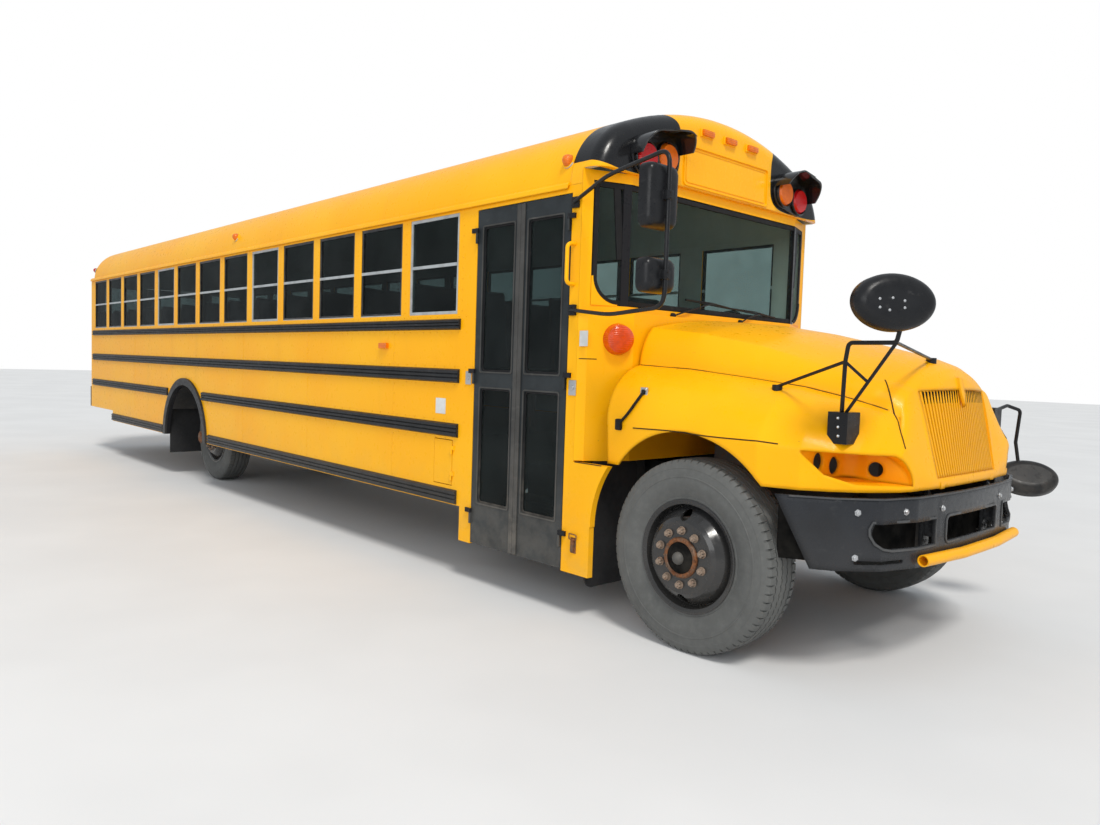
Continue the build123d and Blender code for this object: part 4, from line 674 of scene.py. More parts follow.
def on_surface(tree, pixels):
    """Points where rays through pixels of the photograph meet the surface."""
    hits = [tree.ray_cast(EYE, pixel_ray(x, y))[0] for x, y in pixels]
    return [hit for hit in hits if hit is not None]


def from_ahead(tree, pairs, least_x=0.0, nudges=(0.0,)):
    """Points and normals where lines from straight ahead meet a surface at given (y, z)."""
    points, normals = [], []
    for y, z in pairs:
        for nudge in nudges:
            start = Vector((BEYOND_X, y + nudge, z + nudge))
            place, normal, _, _ = tree.ray_cast(start, -AHEAD)
            if place is not None and place.x > least_x:
                points.append(place)
                normals.append(normal)
                break
    return points, normals


def lay(tree, points):
    """Points and smoothed normals along a curve laid on the nearest surface."""
    places, normals = [], []
    for point in smooth_line(points, 0.015):
        place, normal, _, _ = tree.find_nearest(point)
        places.append(place)
        normals.append(normal)
    smooth = [sum(normals[max(0, i - 2):i + 3], Vector()).normalized() for i in range(len(normals))]
    return places, smooth


def bent(points, radius):
    """Route through points with its corners rounded."""
    points = [Vector(p) for p in points]
    steps = 5
    out = [points[0]]
    for before, here, after in zip(points, points[1:], points[2:]):
        reach = min(radius, (before - here).length * 0.45, (after - here).length * 0.45)
        start = here + (before - here).normalized() * reach
        end = here + (after - here).normalized() * reach
        for k in range(steps + 1):
            t = k / steps
            out.append(start * (1 - t) ** 2 + here * 2 * t * (1 - t) + end * t ** 2)
    return out + [points[-1]]


def rounded_loop(place, low, high, radius, square_to="x", per_corner=5):
    """Corner-rounded rectangle between two corners, on a plane square to x or y at a place."""
    (a0, b0), (a1, b1) = low, high
    centres = ((a1 - radius, b1 - radius), (a0 + radius, b1 - radius),
               (a0 + radius, b0 + radius), (a1 - radius, b0 + radius))
    loop = []
    for quarter, (ca, cb) in enumerate(centres):
        for k in range(per_corner + 1):
            angle = math.radians(90 * quarter + 90 * k / per_corner)
            a, b = ca + radius * math.cos(angle), cb + radius * math.sin(angle)
            loop.append(Vector((place, a, b)) if square_to == "x" else Vector((a, place, b)))
    return loop


# ---------------------------------------------------------------- wheels
STEER_CAP, DRIVE_CAP = 0.022, 0.13
# columns: name, body, axle station, side, tyre centres, hub cap length
WHEELS = (
    ("front_right", "front_right_wheel", FRONT_X, -1, (1.03,), STEER_CAP),
    ("front_left", "front_left_wheel", FRONT_X, 1, (1.03,), STEER_CAP),
    ("rear_right", "rear_right_wheel", REAR_X, -1, (0.745,), DRIVE_CAP),
    ("rear_left", "rear_left_wheels", REAR_X, 1, (0.745, 1.065), DRIVE_CAP),
)
STUDS = 10
STUD_CIRCLE = 0.142875
# columns: distance from the tyre's middle, radius, of one sidewall from bead to shoulder
SIDEWALL = (
    (0.104, 0.2875), (0.111, 0.296), (0.113, 0.312), (0.11, 0.3155), (0.112, 0.321), (0.124, 0.345),
    (0.132, 0.372), (0.1355, 0.396), (0.135, 0.4165), (0.1368, 0.4185), (0.1368, 0.424), (0.1345, 0.426),
    (0.1325, 0.45), (0.13, 0.464), (0.131, 0.466), (0.1295, 0.47), (0.1265, 0.48), (0.1215, 0.492))
GROOVES = (-0.066, -0.022, 0.022, 0.066)
GROOVE_HALF = 0.0045
GROOVE_DEPTH = 0.014
GROOVE_SWAY = 0.0028
LUGS = 72
LUG_NOTCH = 0.009
# columns: share of a lug's pitch, sideways sway of the grooves, depth of the shoulder's notch
LUG = ((0.02, GROOVE_SWAY, 0), (0.06, GROOVE_SWAY, LUG_NOTCH), (0.22, -GROOVE_SWAY, LUG_NOTCH),
       (0.26, -GROOVE_SWAY, 0), (0.5, -GROOVE_SWAY, 0), (0.54, GROOVE_SWAY, 0))
# Sections spun about the axle. Nuts: distance from the disc, radius
WASHER = ((0.0002, 0.0225), (0.004, 0.0225), (0.004, 0.008), (0.0002, 0.008))
NUT = ((0.0035, 0.0196), (0.0205, 0.0196), (0.0252, 0.0165), (0.0252, 0.006), (0.0035, 0.006))
STUD = ((0.02, 0.0088), (0.0325, 0.0088), (0.0345, 0.007), (0.0345, 0.0005), (0.02, 0.0005))
# Hubs: distance from the hub's end, radius
STEER_LIP = ((-0.021, 0.108), (-0.012, 0.106), (-0.006, 0.099), (-0.005, 0.088), (-0.01, 0.083),
             (-0.021, 0.083))
STEER_MOUTH = ((-0.013, 0.084), (0.0012, 0.0625), (0.0012, 0.0005), (-0.002, 0.0005), (-0.002, 0.059),
               (-0.0135, 0.08))
DRIVE_HUB = ((-0.03, 0.071), (0.002, 0.069), (0.006, 0.062), (0.006, 0.03), (-0.03, 0.03))
# Brakes: distance from the tyre's middle, radius
DRUM = ((-0.05, 0.208), (0.108, 0.208), (0.114, 0.202), (0.114, 0.15), (0.106, 0.15), (0.106, 0.196),
        (-0.05, 0.2))
DUST_SHIELD = ((-0.058, 0.246), (-0.054, 0.246), (-0.052, 0.115), (-0.056, 0.115))


def crown(y):
    """Tread radius across the tyre, a little less at the shoulders."""
    return TYRE_RADIUS - 0.0002 - 0.006 * (abs(y) / 0.11) ** 2.5


def tread_profile(sway, notch):
    """Tyre section at one angle."""
    shoulder = [(0.086, crown(0.086) - notch), (0.108, crown(0.108) - notch), (0.117, 0.5 - 0.7 * notch)]
    tread = [(-y, r) for y, r in reversed(shoulder)]
    for middle in GROOVES:
        y = middle + sway
        top, floor = crown(y), crown(y) - GROOVE_DEPTH
        tread += [(y - GROOVE_HALF, top), (y - GROOVE_HALF + 0.001, floor),
                  (y + GROOVE_HALF - 0.001, floor), (y + GROOVE_HALF, top)]
    return [(-y, r) for y, r in SIDEWALL] + tread + shoulder + list(reversed(SIDEWALL))


TYRE_COLUMNS = [((lug + share) * 2 * math.pi / LUGS, tread_profile(sway, notch))
                for lug in range(LUGS) for share, sway, notch in LUG]


def tyre_shape(shape, x, y):
    """One tyre: sidewall rings, zigzag grooves and notched shoulders."""
    verts = []
    for angle, profile in TYRE_COLUMNS:
        for along, radius in profile:
            verts.append((x + radius * math.sin(angle), y + along, AXLE_Z + radius * math.cos(angle)))
    faces = net(len(TYRE_COLUMNS), len(TYRE_COLUMNS[0][1]), round_rows=True)
    shape.take(verts, [tuple(reversed(face)) for face in faces])


def on_circle(axle_x, y, radius, count, start=0.0):
    """Places evenly round an axle."""
    return circle(Vector((axle_x, y, AXLE_Z)), AHEAD, UPWARD, radius, count, start)


def from_end(end, profile):
    return [(end + along, radius) for along, radius in profile]


for name, body, axle_x, side, centres, cap in WHEELS:
    out = (0, side, 0)
    middle = (axle_x, side * centres[0], AXLE_Z)
    end = MOUNT_OFFSET + cap
    end_y = side * (centres[0] + end)
    tyres, fittings, hub = Shape(), Shape(), Shape()
    for centre in centres:
        tyre_shape(tyres, axle_x, side * centre)
    tyre = tyres.piece(name + "_tread_tyre", "tyre", "tyre_rubber", 28, body)
    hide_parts(name + "_tyre")
    disc_y = side * (centres[0] + MOUNT_OFFSET + 0.012 * (len(centres) - 1))
    for spot in on_circle(axle_x, disc_y, STUD_CIRCLE, STUDS, math.pi / STUDS):
        fittings.ring(spot, out, WASHER, 16)
        fittings.ring(spot, out, NUT, 6, turn=0.3)
        fittings.ring(spot, out, STUD, 12)
    fittings.piece(name + "_nuts", "nut", "wheel_paint", 25, body)
    if cap == STEER_CAP:
        # Steer hub: rusty lip round a mouth painted near-black as shade, with a small cap in it
        black_and_shade, centre_cap = Shape(), Shape()
        hub.ring(middle, out, from_end(end, STEER_LIP), 48)
        for spot in on_circle(axle_x, end_y - side * 0.007, 0.097, 10):
            hub.dome(spot, out, 0.009, 0.006, 6, 1)
        black_and_shade.ring(middle, out, from_end(end, STEER_MOUTH), 40)
        centre_cap.dome((axle_x, end_y + side * 0.001, AXLE_Z), out, 0.034, 0.03, 28, 5)
        centre_cap.piece(name + "_centre_cap", "cap_grey", "wheel_paint", 40, body)
        black_and_shade.piece(name + "_hub_mouth", "black_and_shade", "wheel_paint", 40, body)
    else:
        hub.ring(middle, out, from_end(end, DRIVE_HUB), 48)
        hub.dome((axle_x, end_y, AXLE_Z), out, 0.059, 0.02, 40, 6)
        for spot in on_circle(axle_x, end_y + side * 0.006, 0.052, 8):
            hub.dome(spot, out, 0.008, 0.006, 6, 1)
    hub.piece(name + "_hub_lip", "rust", "wheel_paint", 30, body)
    drum = Shape()
    drum.ring(middle, out, DRUM, 48)
    drum.ring(middle, out, DUST_SHIELD, 48)
    drum.piece(name + "_brake_drum", "spring", "wheel_paint", 30, body)


# ---------------------------------------------------------------- hood
hood_tree = tree_of("hood")
seams = Shape()
# Valley between the hood's middle and its fenders: x ahead of the front axle, y, z
VALLEY = ((-0.59, 0.888, 1.514), (-0.42, 0.866, 1.506), (-0.25, 0.842, 1.498), (-0.075, 0.814, 1.48),
          (0.1, 0.785, 1.462), (0.25, 0.754, 1.444), (0.4, 0.722, 1.425), (0.5, 0.697, 1.404),
          (0.6, 0.672, 1.382), (0.72, 0.638, 1.35), (0.79, 0.615, 1.328))
# Pixels of the photograph along the other two seams
NOSE_SEAM = ((885, 380), (890, 395), (894, 413), (900, 430), (905.5, 449))
FENDER_SEAM = ((633, 428), (670, 431), (705, 436), (745, 440), (778, 444))
for line in ([ahead(x, -y, z) for x, y, z in VALLEY], on_surface(hood_tree, NOSE_SEAM),
             on_surface(hood_tree, FENDER_SEAM)):
    places, normals = lay(hood_tree, line)
    seams.strip(places, normals, 0.007, 0.0022)
    seams.strip([other_side(p) for p in places], [other_side(n) for n in normals], 0.007, 0.0022)
seams.piece("hood_seams", "seam", "yellow_paint", body="hood")

# Near-black prisms just off the grille's face at the pointed slots along its top: painted shade of the
# slots
RIBS = 29
RIB_PITCH = 0.0282
NOSE = ahead(0.8494, 0, 1.432)
NOSE_OUT, NOSE_UP = Vector((0.972, 0, 0.236)), Vector((-0.236, 0, 0.972))


def grille_face(y, drop):
    """Point just off the bowed face of the grille, a way down it."""
    t = (drop - 0.006) / 0.444
    half = 0.417 - 0.04 * t
    face = 0.038 - 0.032 * t - (0.041 - 0.032 * t) * (y / half) ** 2
    return NOSE - NOSE_UP * drop + NOSE_OUT * (face + 0.0006) + Vector((0, y, 0))


slot_shade = Shape()
for index in range(RIBS - 1):
    y = (index - RIBS / 2 + 1) * RIB_PITCH
    # The boss in the middle has no slots
    if abs(y) >= 0.04:
        outline = [grille_face(y - 0.0095, 0.012), grille_face(y, 0.074), grille_face(y + 0.0095, 0.012)]
        slot_shade.prism(outline, [p - NOSE_OUT * 0.009 for p in outline])
slot_shade.piece("grille_slot_shade", "black_and_shade", "yellow_paint", body="hood")

# Rubber latches between the fender and the body
strap, fitting = Shape(), Shape()
points = on_surface(tree_of("hood", "cowl", "right_wall"), ((645, 392), (637, 403), (629, 414), (620, 424)))
raised = [p + RIGHTWARD * 0.014 for p in points]
head, foot = raised[0], raised[-1]
strap.pipe(smooth_line(raised, 0.01), 0.008)
strap.block(foot + Vector((0, 0.002, -0.002)), (0.02, 0.012, 0.032), 0.008)
strap.block(head + Vector((0, 0.001, 0)), (0.012, 0.007, 0.014), 0.005)
for shift in (-0.016, 0.016):
    fitting.dome(head + Vector((shift, 0.004, shift)), RIGHTWARD, 0.011, 0.009, 12, 2)
fitting.block(head + Vector((0, 0.009, 0)), (0.026, 0.005, 0.026), 0.004)
for end_name, latch, material, slot in (("", strap, "gasket", "black_plastic"),
                                        ("head_", fitting, "bright", "window_aluminium")):
    latch.piece("hood_strap_" + end_name + "right", material, slot, 35, "hood")
    latch.mirrored().piece("hood_strap_" + end_name + "left", material, slot, 35, "hood")


# ---------------------------------------------------------------- entrance doors, rivets, panel joints
LEAF_WIDTH = (DOOR_FRONT_X - DOOR_REAR_X) / 2 - 0.009
for name, edge_x, way in (("entry_door_rear", DOOR_REAR_X + 0.006, 1),
                          ("entry_door_front", DOOR_FRONT_X - 0.006, -1)):
    middle = edge_x + way * LEAF_WIDTH / 2
    half = LEAF_WIDTH / 2 - 0.062
    edging, seal, stile = Shape(), Shape(), Shape()
    # Lowest and highest edges of the upper and the lower pane
    for low, high in ((1.44, 2.39), (0.56, 1.33)):
        for shape, y, grow, radius, width, height in (
                (edging, -HALF_WIDTH - 0.0006, 0.004, 0.012, 0.01, 0.0035),
                (seal, -HALF_WIDTH + 0.012, -0.006, 0.026, 0.016, 0.006)):
            loop = rounded_loop(y, (middle - half - grow, low - grow), (middle + half + grow, high + grow),
                                radius, square_to="y")
            shape.strip(loop, [RIGHTWARD] * len(loop), width, height, closed=True)
    meet_x = edge_x + way * LEAF_WIDTH
    back_x, front_x = sorted((meet_x - way * 0.034, meet_x + way * 0.0018))
    stile.box((back_x, -HALF_WIDTH - 0.01, 0.285), (front_x, -HALF_WIDTH - 0.0003, 2.495), 0.004)
    edging.piece(name + "_edging", "door_rubber", "black_paint", body=name)
    stile.piece(name + "_stile_rubber", "door_rubber", "black_paint", body=name)
    seal.piece(name + "_seal", "gasket", "black_paint", body=name)

WALL_REAR_X = TAIL_X + 0.05
# Stations of the joints between the side sheets, and the sheets' lowest and highest edges
SHEET_JOINTS = (-4.045, -0.485, 0.935, 2.355)
SHEETS = ((0.62, 0.97), (1.076, 1.345), (1.453, 1.712))
# Where the lower rows stop on either side of the rear arch
ARCH_FRONT_X, ARCH_BACK_X = -1.44, -2.86


def rivet_row(shape, side, start, end, pitch):
    """Row of dome rivets on the flat of a side wall between two (x, z) points."""
    way = Vector((end[0] - start[0], end[1] - start[1]))
    count = max(1, round(way.length / pitch))
    for k in range(count + 1):
        x, z = start[0] + way.x * k / count, start[1] + way.y * k / count
        shape.dome((x, side * HALF_WIDTH, z), (0, side, 0), 0.0065, 0.0022, 6, 1)


panel_joints = Shape()
for side, side_name in zip(SIDES, ("right", "left")):
    rivets = Shape()
    front_end = DOOR_REAR_X - 0.1 if side < 0 else FRONT_X - 0.95
    rows = [(WALL_REAR_X, front_end, z, 0.085) for z in (2.535, 1.812, 1.7)]
    rows += [(WALL_REAR_X, front_end, z, 0.12) for z in (1.465, 1.336)]
    rows += [(WALL_REAR_X, ARCH_BACK_X, 1.088, 0.12), (ARCH_FRONT_X, front_end, 1.088, 0.12),
             (ARCH_FRONT_X, front_end if side > 0 else 3.05, 0.96, 0.12)]
    for back, front, z, pitch in rows:
        rivet_row(rivets, side, (back, z), (front, z), pitch)
    for index in range(WINDOW_COUNT + 1):
        x = FIRST_WINDOW_X + WINDOW_PITCH * (0.5 - index)
        rivet_row(rivets, side, (x, 1.85), (x, 2.5), 0.075)
    for x in SHEET_JOINTS:
        for low, high in ((0.63, 0.94), (1.1, 1.32), (1.48, 1.69)):
            rivet_row(rivets, side, (x + 0.015, low), (x + 0.015, high), 0.07)
        for low, high in SHEETS:
            line = [Vector((x, side * HALF_WIDTH, z)) for z in (low, high)]
            panel_joints.strip(line, [Vector((0, side, 0))] * 2, 0.004, 0.0006)
    rivets.piece("rivets_" + side_name, "yellow", "yellow_paint", 60)
panel_joints.piece("panel_joints", "yellow", "yellow_paint")


# ---------------------------------------------------------------- windscreen seal, sign panel, lamps
screen_tree = tree_of("windshield")
low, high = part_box("windshield")
GLASS_HALF = high.y - 0.022
GLASS_LOW_Z, GLASS_HIGH_Z = low.z + 0.018, high.z - 0.018
CORNER = 0.15
RIM = 0.021
seal, corners = Shape(), Shape()


def screen_line(pairs, width, height):
    """Strip of the seal along (y, z) pairs of the windscreen's outer face."""
    points, _ = from_ahead(screen_tree, pairs)
    seal.strip(points, [Vector((1, 0.25 * p.y, 0)).normalized() for p in points], width, height)


for z in (GLASS_LOW_Z, GLASS_HIGH_Z):
    screen_line([(y, z) for y in np.linspace(-GLASS_HALF, GLASS_HALF, 41)], 0.034, 0.01)
heights = [(t, GLASS_LOW_Z + (GLASS_HIGH_Z - GLASS_LOW_Z) * t) for t in np.linspace(0, 1, 9)]
for side in SIDES:
    screen_line([(side * GLASS_HALF, z) for _, z in heights], 0.034, 0.01)
    screen_line([(side * (0.935 + 0.055 * t), z) for t, z in heights], 0.05, 0.009)
for side in SIDES:
    # Rounded lower corner of the glass, with the body's yellow outside it
    arc = []
    for k in range(11):
        angle = math.radians(270 + 9 * k)
        arc.append((side * (GLASS_HALF - CORNER + CORNER * math.cos(angle)),
                    GLASS_LOW_Z + CORNER + CORNER * math.sin(angle)))
    points, _ = from_ahead(screen_tree, arc)
    across = Vector((points[-1].x - points[0].x, points[-1].y - points[0].y, 0)).normalized()
    facing = across.cross(UPWARD)
    facing = facing if facing.x > 0 else -facing
    seal.strip(points, [facing] * len(points), 0.024, 0.0155)
    beside = points[-1] + across * RIM
    rim = [*points, beside, Vector((beside.x, beside.y, GLASS_LOW_Z - RIM)), points[0] - UPWARD * RIM]
    corners.prism([p + facing * 0.0125 for p in rim], [p + facing * 0.002 for p in rim])
corners.piece("windshield_corners", "yellow", "yellow_paint")
seal.piece("windshield_seal", "gasket", "black_plastic")

# Blank sign field between the pods: a raised frame round a plain panel
cap_tree = tree_of("front_cap")
sign = Shape()
for half_y, low_z, high_z, width, height in ((0.462, 2.656, 2.904, 0.014, 0.01),
                                             (0.44, 2.676, 2.884, 0.007, 0.004)):
    loop = rounded_loop(0, (-half_y, low_z), (half_y, high_z), 0.022)
    points, _ = from_ahead(cap_tree, [(p.y, p.z) for p in loop], nudges=(0.0, 0.0011, -0.0013))
    sign.strip(points, [AHEAD] * len(points), width, height, closed=True)
sign.piece("sign_frame", "yellow", "yellow_paint")

# y, z of the inner and the outer lamp of each pod
WARNING_LAMPS = ((0.655, 2.775), (0.845, 2.745))
BEZEL = ((0.0005, 0.099), (0.014, 0.0975), (0.018, 0.093), (0.014, 0.0895), (0.0005, 0.0895))
bezels = Shape()
for side in SIDES:
    for y, z in WARNING_LAMPS:
        bezels.ring((CAP_FRONT_X + 0.02, side * y, z), AHEAD, BEZEL, 48)
        bezels.ring((TAIL_X - 0.001, side * y, z - 0.02), -AHEAD, BEZEL, 48)
bezels.piece("lamp_bezels", "pod", "black_plastic", 40)


# ---------------------------------------------------------------- fittings placed by the photograph
LOCK = ((0, 0.014), (0.006, 0.014), (0.007, 0.011), (0.007, 0.002), (0, 0.002))
locks = Shape()
# x ahead of the front axle, z
for x, z in ((-1.835, 1.393), (-0.824, 1.368)):
    locks.block(ahead(x, -HALF_WIDTH - 0.0031, z), (0.03, 0.0029, 0.045), 0.003)
    locks.ring(ahead(x, -HALF_WIDTH - 0.005, z), RIGHTWARD, LOCK, 20)
locks.piece("lock_plates", "bright", "window_aluminium", 35)
# Access panel ahead of the door, let into the bulkhead's side
panel_seam = Shape()
for z, back, front in ((1.54, -0.784, -0.544), (0.94, -0.787, -0.569)):
    places, normals = lay(tree_of("right_wall", "cowl"), [ahead(x, -HALF_WIDTH, z) for x in (back, front)])
    panel_seam.strip(places, normals, 0.006, 0.0012)
panel_seam.piece("access_panel_seams", "seam", "yellow_paint")
labels = Shape()
for x, z, half_x, half_z in ((-0.746, 1.657, 0.034, 0.045), (-2.155, 1.185, 0.06, 0.055)):
    labels.block(ahead(x, -HALF_WIDTH - 0.0007, z), (half_x, 0.0005, half_z), 0.0003)
labels.piece("blank_labels", "white", "grey_plastic")

bumper_tree = tree_of("front_bumper")
BUMPER_FACE_X = FRONT_X + 0.45
BOLT = ((0.0, 0.017), (0.003, 0.017), (0.003, 0.012), (0.01, 0.0115), (0.012, 0.009), (0.012, 0.001),
        (0.0, 0.001))
bolts = Shape()
for x, y, z in ((0.835, 0.944, 0.853), (0.963, 0.704, 0.853), (1.001, 0.385, 0.848), (0.833, 0.946, 0.639)):
    for side in SIDES:
        place, normal, _, _ = bumper_tree.find_nearest(ahead(x, side * y, z))
        bolts.ring(place, normal, BOLT, 6)
bolts.piece("bumper_bolts", "bright", "black_paint", 30)

# Rolled rims round the air mouths as (y, z), and the top edge, in lighter grey: painted highlight along
# these edges, with scuffs of wear
SIDE_MOUTH = ((0.444, 0.669), (0.6, 0.668), (0.772, 0.669), (0.83, 0.68), (0.866, 0.706), (0.886, 0.745),
              (0.888, 0.775), (0.876, 0.807), (0.7, 0.807), (0.444, 0.807), (0.444, 0.74))
middle_mouth = [(p.y, p.z) for p in rounded_loop(0, (-0.336, 0.669), (0.336, 0.807), 0.03)]
rims = Shape()
for outline in (middle_mouth, *([(side * y, z) for y, z in SIDE_MOUTH] for side in SIDES)):
    rims.strip(*from_ahead(bumper_tree, outline, BUMPER_FACE_X), 0.013, 0.005, closed=True)
top_edge = [(y, 0.9165) for y in np.linspace(-1.13, 1.13, 61)]
rims.strip(*from_ahead(bumper_tree, top_edge, BUMPER_FACE_X), 0.009, 0.004)
rims.piece("bumper_rims", "bumper_edge_highlight_and_wear", "black_paint", 50)

# Cooler core with its fins, and splash panels behind the mouths, all near-black: the core's own black and
# painted shade inside the mouths. Splash panel points: x ahead of the front axle, y
BACKING_LOW_Z, BACKING_HIGH_Z = 0.6, 0.9
SPLASH_PANEL = ((0.5, 1.085), (0.7, 0.975), (0.815, 0.8), (0.868, 0.6), (0.88, 0.44))
# columns: thickness to the rear, z
SPLASH_SECTION = ((0, BACKING_LOW_Z), (0.004, BACKING_LOW_Z), (0.004, BACKING_HIGH_Z), (0, BACKING_HIGH_Z))
behind = Shape()
behind.box(ahead(0.85, -0.446, BACKING_LOW_Z), ahead(0.882, 0.446, BACKING_HIGH_Z), 0.006)
for k in range(44):
    y = -0.398 + 0.0181 * k
    behind.box(ahead(0.881, y, 0.61), ahead(0.888, y + 0.006, 0.89), 0.0012)
for side in SIDES:
    verts = [ahead(x - back, side * y, z) for x, y in SPLASH_PANEL for back, z in SPLASH_SECTION]
    behind.take(verts, net(len(SPLASH_PANEL), 4) + ends(len(SPLASH_PANEL), 4))
behind.piece("bumper_backing", "black_and_shade", "black_paint")


# ---------------------------------------------------------------- mirrors
MIRROR_X = FRONT_X - 0.015
# Feet of the arms on the wall: distance ahead of the front axle, and their heights
ARM_FOOT = -0.84
ARM_HIGH_Z, ARM_LOW_Z = 2.444, 1.822
# columns: distance along the depth, share of the outline's size
HOUSING = ((-0.5, 0.955), (-0.48, 1.0), (-0.1, 1.0), (0.18, 0.972), (0.36, 0.9), (0.46, 0.78), (0.5, 0.58))
HOUSING_WIDTH = 0.226
HOUSING_DEPTH = 0.08
HOUSING_CORNER = 0.042


def housing(shape, centre, height):
    """Rounded mirror housing: flat glass side to the rear, crowned back to the front."""
    verts = []
    for along, scale in HOUSING:
        half_y = HOUSING_WIDTH / 2 * scale
        half_z = height / 2 + 0.5 * HOUSING_WIDTH * (scale - 1)
        loop = rounded_loop(HOUSING_DEPTH * along, (-half_y, -half_z), (half_y, half_z),
                            HOUSING_CORNER * scale, per_corner=7)
        verts += [centre + p for p in loop]
    count = len(verts) // len(HOUSING)
    shape.take(verts, net(len(HOUSING), count) + ends(len(HOUSING), count))


mirrors, mirror_glass = Shape(), Shape()
wall_y, bend_y, out_y = -HALF_WIDTH - 0.022, -1.33, -1.45
arm_x = MIRROR_X + 0.05
mirrors.pipe(bent((ahead(ARM_FOOT, wall_y, ARM_HIGH_Z), ahead(-0.5, bend_y, 2.53), (arm_x, out_y, 2.565),
                   (arm_x, out_y, 1.8), ahead(-0.45, bend_y, 1.78), ahead(ARM_FOOT, wall_y, ARM_LOW_Z)),
                  0.085), 0.0115, 14)
for z, height in ((2.34, 0.312), (1.955, 0.172)):
    housing(mirrors, Vector((MIRROR_X - 0.006, out_y, z)), height)
    mirrors.block((MIRROR_X + 0.045, out_y, z), (0.019, 0.022, 0.024), 0.006)
    for shift in (-0.013, 0.013):
        mirrors.dome((MIRROR_X + 0.064, out_y, z + shift), AHEAD, 0.006, 0.005, 6, 1)
    half_z = height / 2 - 0.014
    loop = rounded_loop(MIRROR_X - 0.0462, (out_y - 0.1, z - half_z), (out_y + 0.1, z + half_z), 0.034)
    mirror_glass.prism(loop, [p - AHEAD * 0.0015 for p in loop])
for side in SIDES:
    for z in (ARM_HIGH_Z, ARM_LOW_Z):
        mirrors.block(ahead(ARM_FOOT, side * (HALF_WIDTH + 0.011), z), (0.028, 0.011, 0.032), 0.005)
        for shift in (-0.02, 0.02):
            spot = ahead(ARM_FOOT, side * (HALF_WIDTH + 0.022), z + shift)
            mirrors.dome(spot, (0, side, 0), 0.007, 0.006, 6, 1)
mirrors_piece = mirrors.piece("mirror_arms", "plastic", "black_plastic", 40)
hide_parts("side_mirrors")
mirror_glass.piece("mirror_glass", "mirror", "black_plastic")

# Bolts on the right crossview dish, as places across and up from its middle, and on its base plate
DISH_OUT = Vector((0.84, -0.54, 0.1)).normalized()
DISH_BOLTS = ((-0.055, 0.012), (-0.055, -0.018), (0.0, 0.022), (0.06, 0.016), (0.06, -0.02), (0.015, -0.03))
dish = Shape()
dish_tree = tree_of("crossview_mirrors")
dish_across = DISH_OUT.cross(UPWARD).normalized()
dish_up = dish_across.cross(DISH_OUT)
for dish_middle in on_surface(dish_tree, ((893, 303),)):
    for a, b in DISH_BOLTS:
        spot = dish_tree.find_nearest(dish_middle + dish_across * a + dish_up * b)[0]
        dish.dome(spot - DISH_OUT * 0.001, DISH_OUT, 0.0075, 0.006, 8, 1)
for spot in on_surface(dish_tree, ((838, 418), (838, 427), (838, 436))):
    dish.dome(spot, (0.55, -0.8, 0.1), 0.008, 0.006, 8, 1)
dish.piece("crossview_bolts", "bright", "window_aluminium", 40, "hood")


# ---------------------------------------------------------------- wipers
PIVOT = ((0, 0.02), (0.016, 0.018), (0.018, 0.014), (0.018, 0.001), (0, 0.001))
PIVOT_Z = 1.832
wipers = Shape()
# columns: y of the pivot, (y, z) of the arm's end, and of the two ends of the blade
for pivot_y, (arm_y, arm_z), start, end in ((-0.484, (-0.09, 1.935), (-0.35, 1.945), (0.19, 1.918)),
                                            (0.25, (0.48, 1.905), (0.16, 1.922), (0.69, 1.893))):
    elbow_y = pivot_y + 0.3 * (arm_y - pivot_y)
    wipers.ring((SCREEN_X + 0.0003, pivot_y, PIVOT_Z), AHEAD, PIVOT, 20)
    wipers.pipe(bent(((SCREEN_X + 0.014, pivot_y, PIVOT_Z), (SCREEN_X + 0.02, elbow_y, 1.868),
                      (SCREEN_X + 0.004, arm_y, arm_z)), 0.05), 0.0055, 8)
    bow = (SCREEN_X + 0.006, (start[0] + end[0]) / 2, (start[1] + end[1]) / 2 + 0.01)
    wipers.pipe([(SCREEN_X + 0.002, *start), bow, (SCREEN_X + 0.002, *end)], 0.004, 6)
    low, high = Vector((SCREEN_X - 0.008, *start)), Vector((SCREEN_X - 0.008, *end))
    wipers.strip([low.lerp(high, t) for t in np.linspace(0, 1, 9)], [AHEAD] * 9, 0.012, 0.012)
wipers_piece = wipers.piece("wiper_arms", "plastic", "black_plastic", 40)
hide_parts("wipers")


# ---------------------------------------------------------------- drip rails, roof lamps, mudflaps, catch
# columns: distance out from the wall, z
DRIP_SECTION = ((-0.001, 2.575), (0.017, 2.558), (0.021, 2.536), (0.017, 2.53), (0.011, 2.548),
                (-0.001, 2.553))
drip = Shape()
drip_ends = (FRONT_X - 0.905, TAIL_X + 0.02)
drip.prism(*([(x, -HALF_WIDTH - out, z) for out, z in DRIP_SECTION] for x in drip_ends))
left_drip = drip.mirrored()
drip.take(left_drip.verts, left_drip.faces)
drip.piece("drip_rails", "yellow", "yellow_paint")

SEAT_RING = ((0, 0.046), (0.01, 0.044), (0.012, 0.038), (0.0, 0.038))
roof_tree = tree_of("roof", "front_cap")
roof_amber, roof_red, seats, amber = Shape(), Shape(), Shape(), Shape()
for side in SIDES:
    for x, shape in ((FRONT_X - 0.945, roof_amber), (FRONT_X - 5.873, roof_amber),
                     (TAIL_X + 0.075, roof_red)):
        place, normal, _, _ = roof_tree.find_nearest(Vector((x, side * 1.19, 2.7)))
        seats.ring(place - normal * 0.002, normal, SEAT_RING, 24)
        shape.dome(place, normal, 0.038, 0.05, 20, 4)
